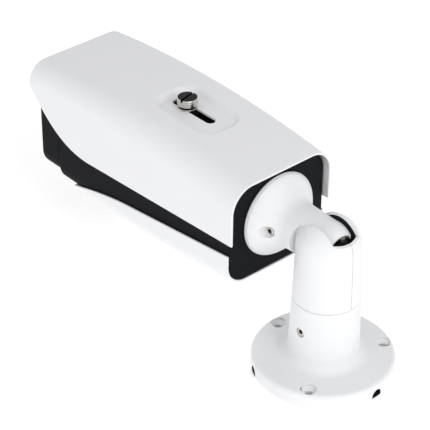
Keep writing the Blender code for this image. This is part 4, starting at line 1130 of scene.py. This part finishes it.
# ---- the camera, the floor and the light ----
VIEW_TURN = math.radians(137.815)
VIEW_RISE = math.radians(34.209)
VIEW_ROLL = math.radians(0.652)
eye = Vector((0.63326, 0.59728, 0.70062))
toward_eye = Vector((math.sin(VIEW_TURN) * math.cos(VIEW_RISE), -math.cos(VIEW_TURN) * math.cos(VIEW_RISE),
                     math.sin(VIEW_RISE)))
level_right = (-toward_eye).cross(Vector((0, 0, 1))).normalized()
level_up = level_right.cross(-toward_eye)
right = math.cos(VIEW_ROLL) * level_right + math.sin(VIEW_ROLL) * level_up
up = math.cos(VIEW_ROLL) * level_up - math.sin(VIEW_ROLL) * level_right
lens = bpy.data.cameras.new("view")
lens.sensor_width = 36.0
lens.lens = 149.15
lens.clip_end = 50.0
camera = bpy.data.objects.new("view", lens)
camera.matrix_world = Matrix((
    (right.x, up.x, toward_eye.x, eye.x),
    (right.y, up.y, toward_eye.y, eye.y),
    (right.z, up.z, toward_eye.z, eye.z),
    (0, 0, 0, 1)))
bpy.context.scene.collection.objects.link(camera)
bpy.context.scene.camera = camera

floor_look = Finish("pale_floor", (0.9, 0.9, 0.9), 0.9, Emission_Strength=0.39)
floor_point = floor_look.node("ShaderNodeTexCoord", output=3)
reach = floor_look.node("ShaderNodeVectorMath", {"operation": "LENGTH"}, {0: floor_point}, output=1)
# Under the flange's footprint the floor is painted dark and does not glow: a painted shadow, seen through the
# drain notches.
rim = FLANGE_R * MM - 0.0003
outside_painted_shadow = floor_look.node("ShaderNodeMath", {"operation": "GREATER_THAN"}, {0: reach, 1: rim})
floor_look.set("Base Color", floor_look.mix(outside_painted_shadow, (0.01, 0.01, 0.01), (0.9, 0.9, 0.9)))
floor_look.set("Emission Color", floor_look.mix(outside_painted_shadow, (0.0, 0.0, 0.0), (1.0, 1.0, 1.0)))
floor_mesh = bpy.data.meshes.new("floor")
floor_mesh.from_pydata([(-8, -8, 0), (8, -8, 0), (8, 8, 0), (-8, 8, 0)], [], [(0, 1, 2, 3)])
floor_mesh.materials.append(floor_look.material)
floor = bpy.data.objects.new("floor", floor_mesh)
bpy.context.scene.collection.objects.link(floor)


def soft_light(name, at, toward, size, power):
    lamp_data = bpy.data.lights.new(name, "AREA")
    lamp_data.shape = "DISK"
    lamp_data.size = size
    lamp_data.energy = power
    light = bpy.data.objects.new(name, lamp_data)
    light.location = at
    light.rotation_euler = (Vector(at) - Vector(toward)).to_track_quat("Z", "Y").to_euler()
    bpy.context.scene.collection.objects.link(light)


soft_light("side_light", (1.6, 0.2, 0.8), (0, -0.1, 0.08), 1.2, 1.5)
soft_light("rear_light", (0.3, 1.5, 1.3), (0, -0.1, 0.08), 1.2, 12.0)

world = bpy.data.worlds.new("studio")
world.use_nodes = True
bpy.context.scene.world = world
sky = world.node_tree
direction = sky.nodes.new("ShaderNodeTexCoord")
parts_of = sky.nodes.new("ShaderNodeSeparateXYZ")
ramp = sky.nodes.new("ShaderNodeValToRGB")
ramp.color_ramp.elements[0].position = 0.0
ramp.color_ramp.elements[0].color = (1.0, 1.0, 1.0, 1.0)
ramp.color_ramp.elements[1].position = 0.9
ramp.color_ramp.elements[1].color = (0.57, 0.57, 0.58, 1.0)
sky.links.new(direction.outputs["Generated"], parts_of.inputs[0])
sky.links.new(parts_of.outputs["Z"], ramp.inputs[0])
sky.links.new(ramp.outputs[0], sky.nodes["Background"].inputs["Color"])
sky.nodes["Background"].inputs["Strength"].default_value = 1.0
bpy.context.scene.view_settings.view_transform = "Standard"
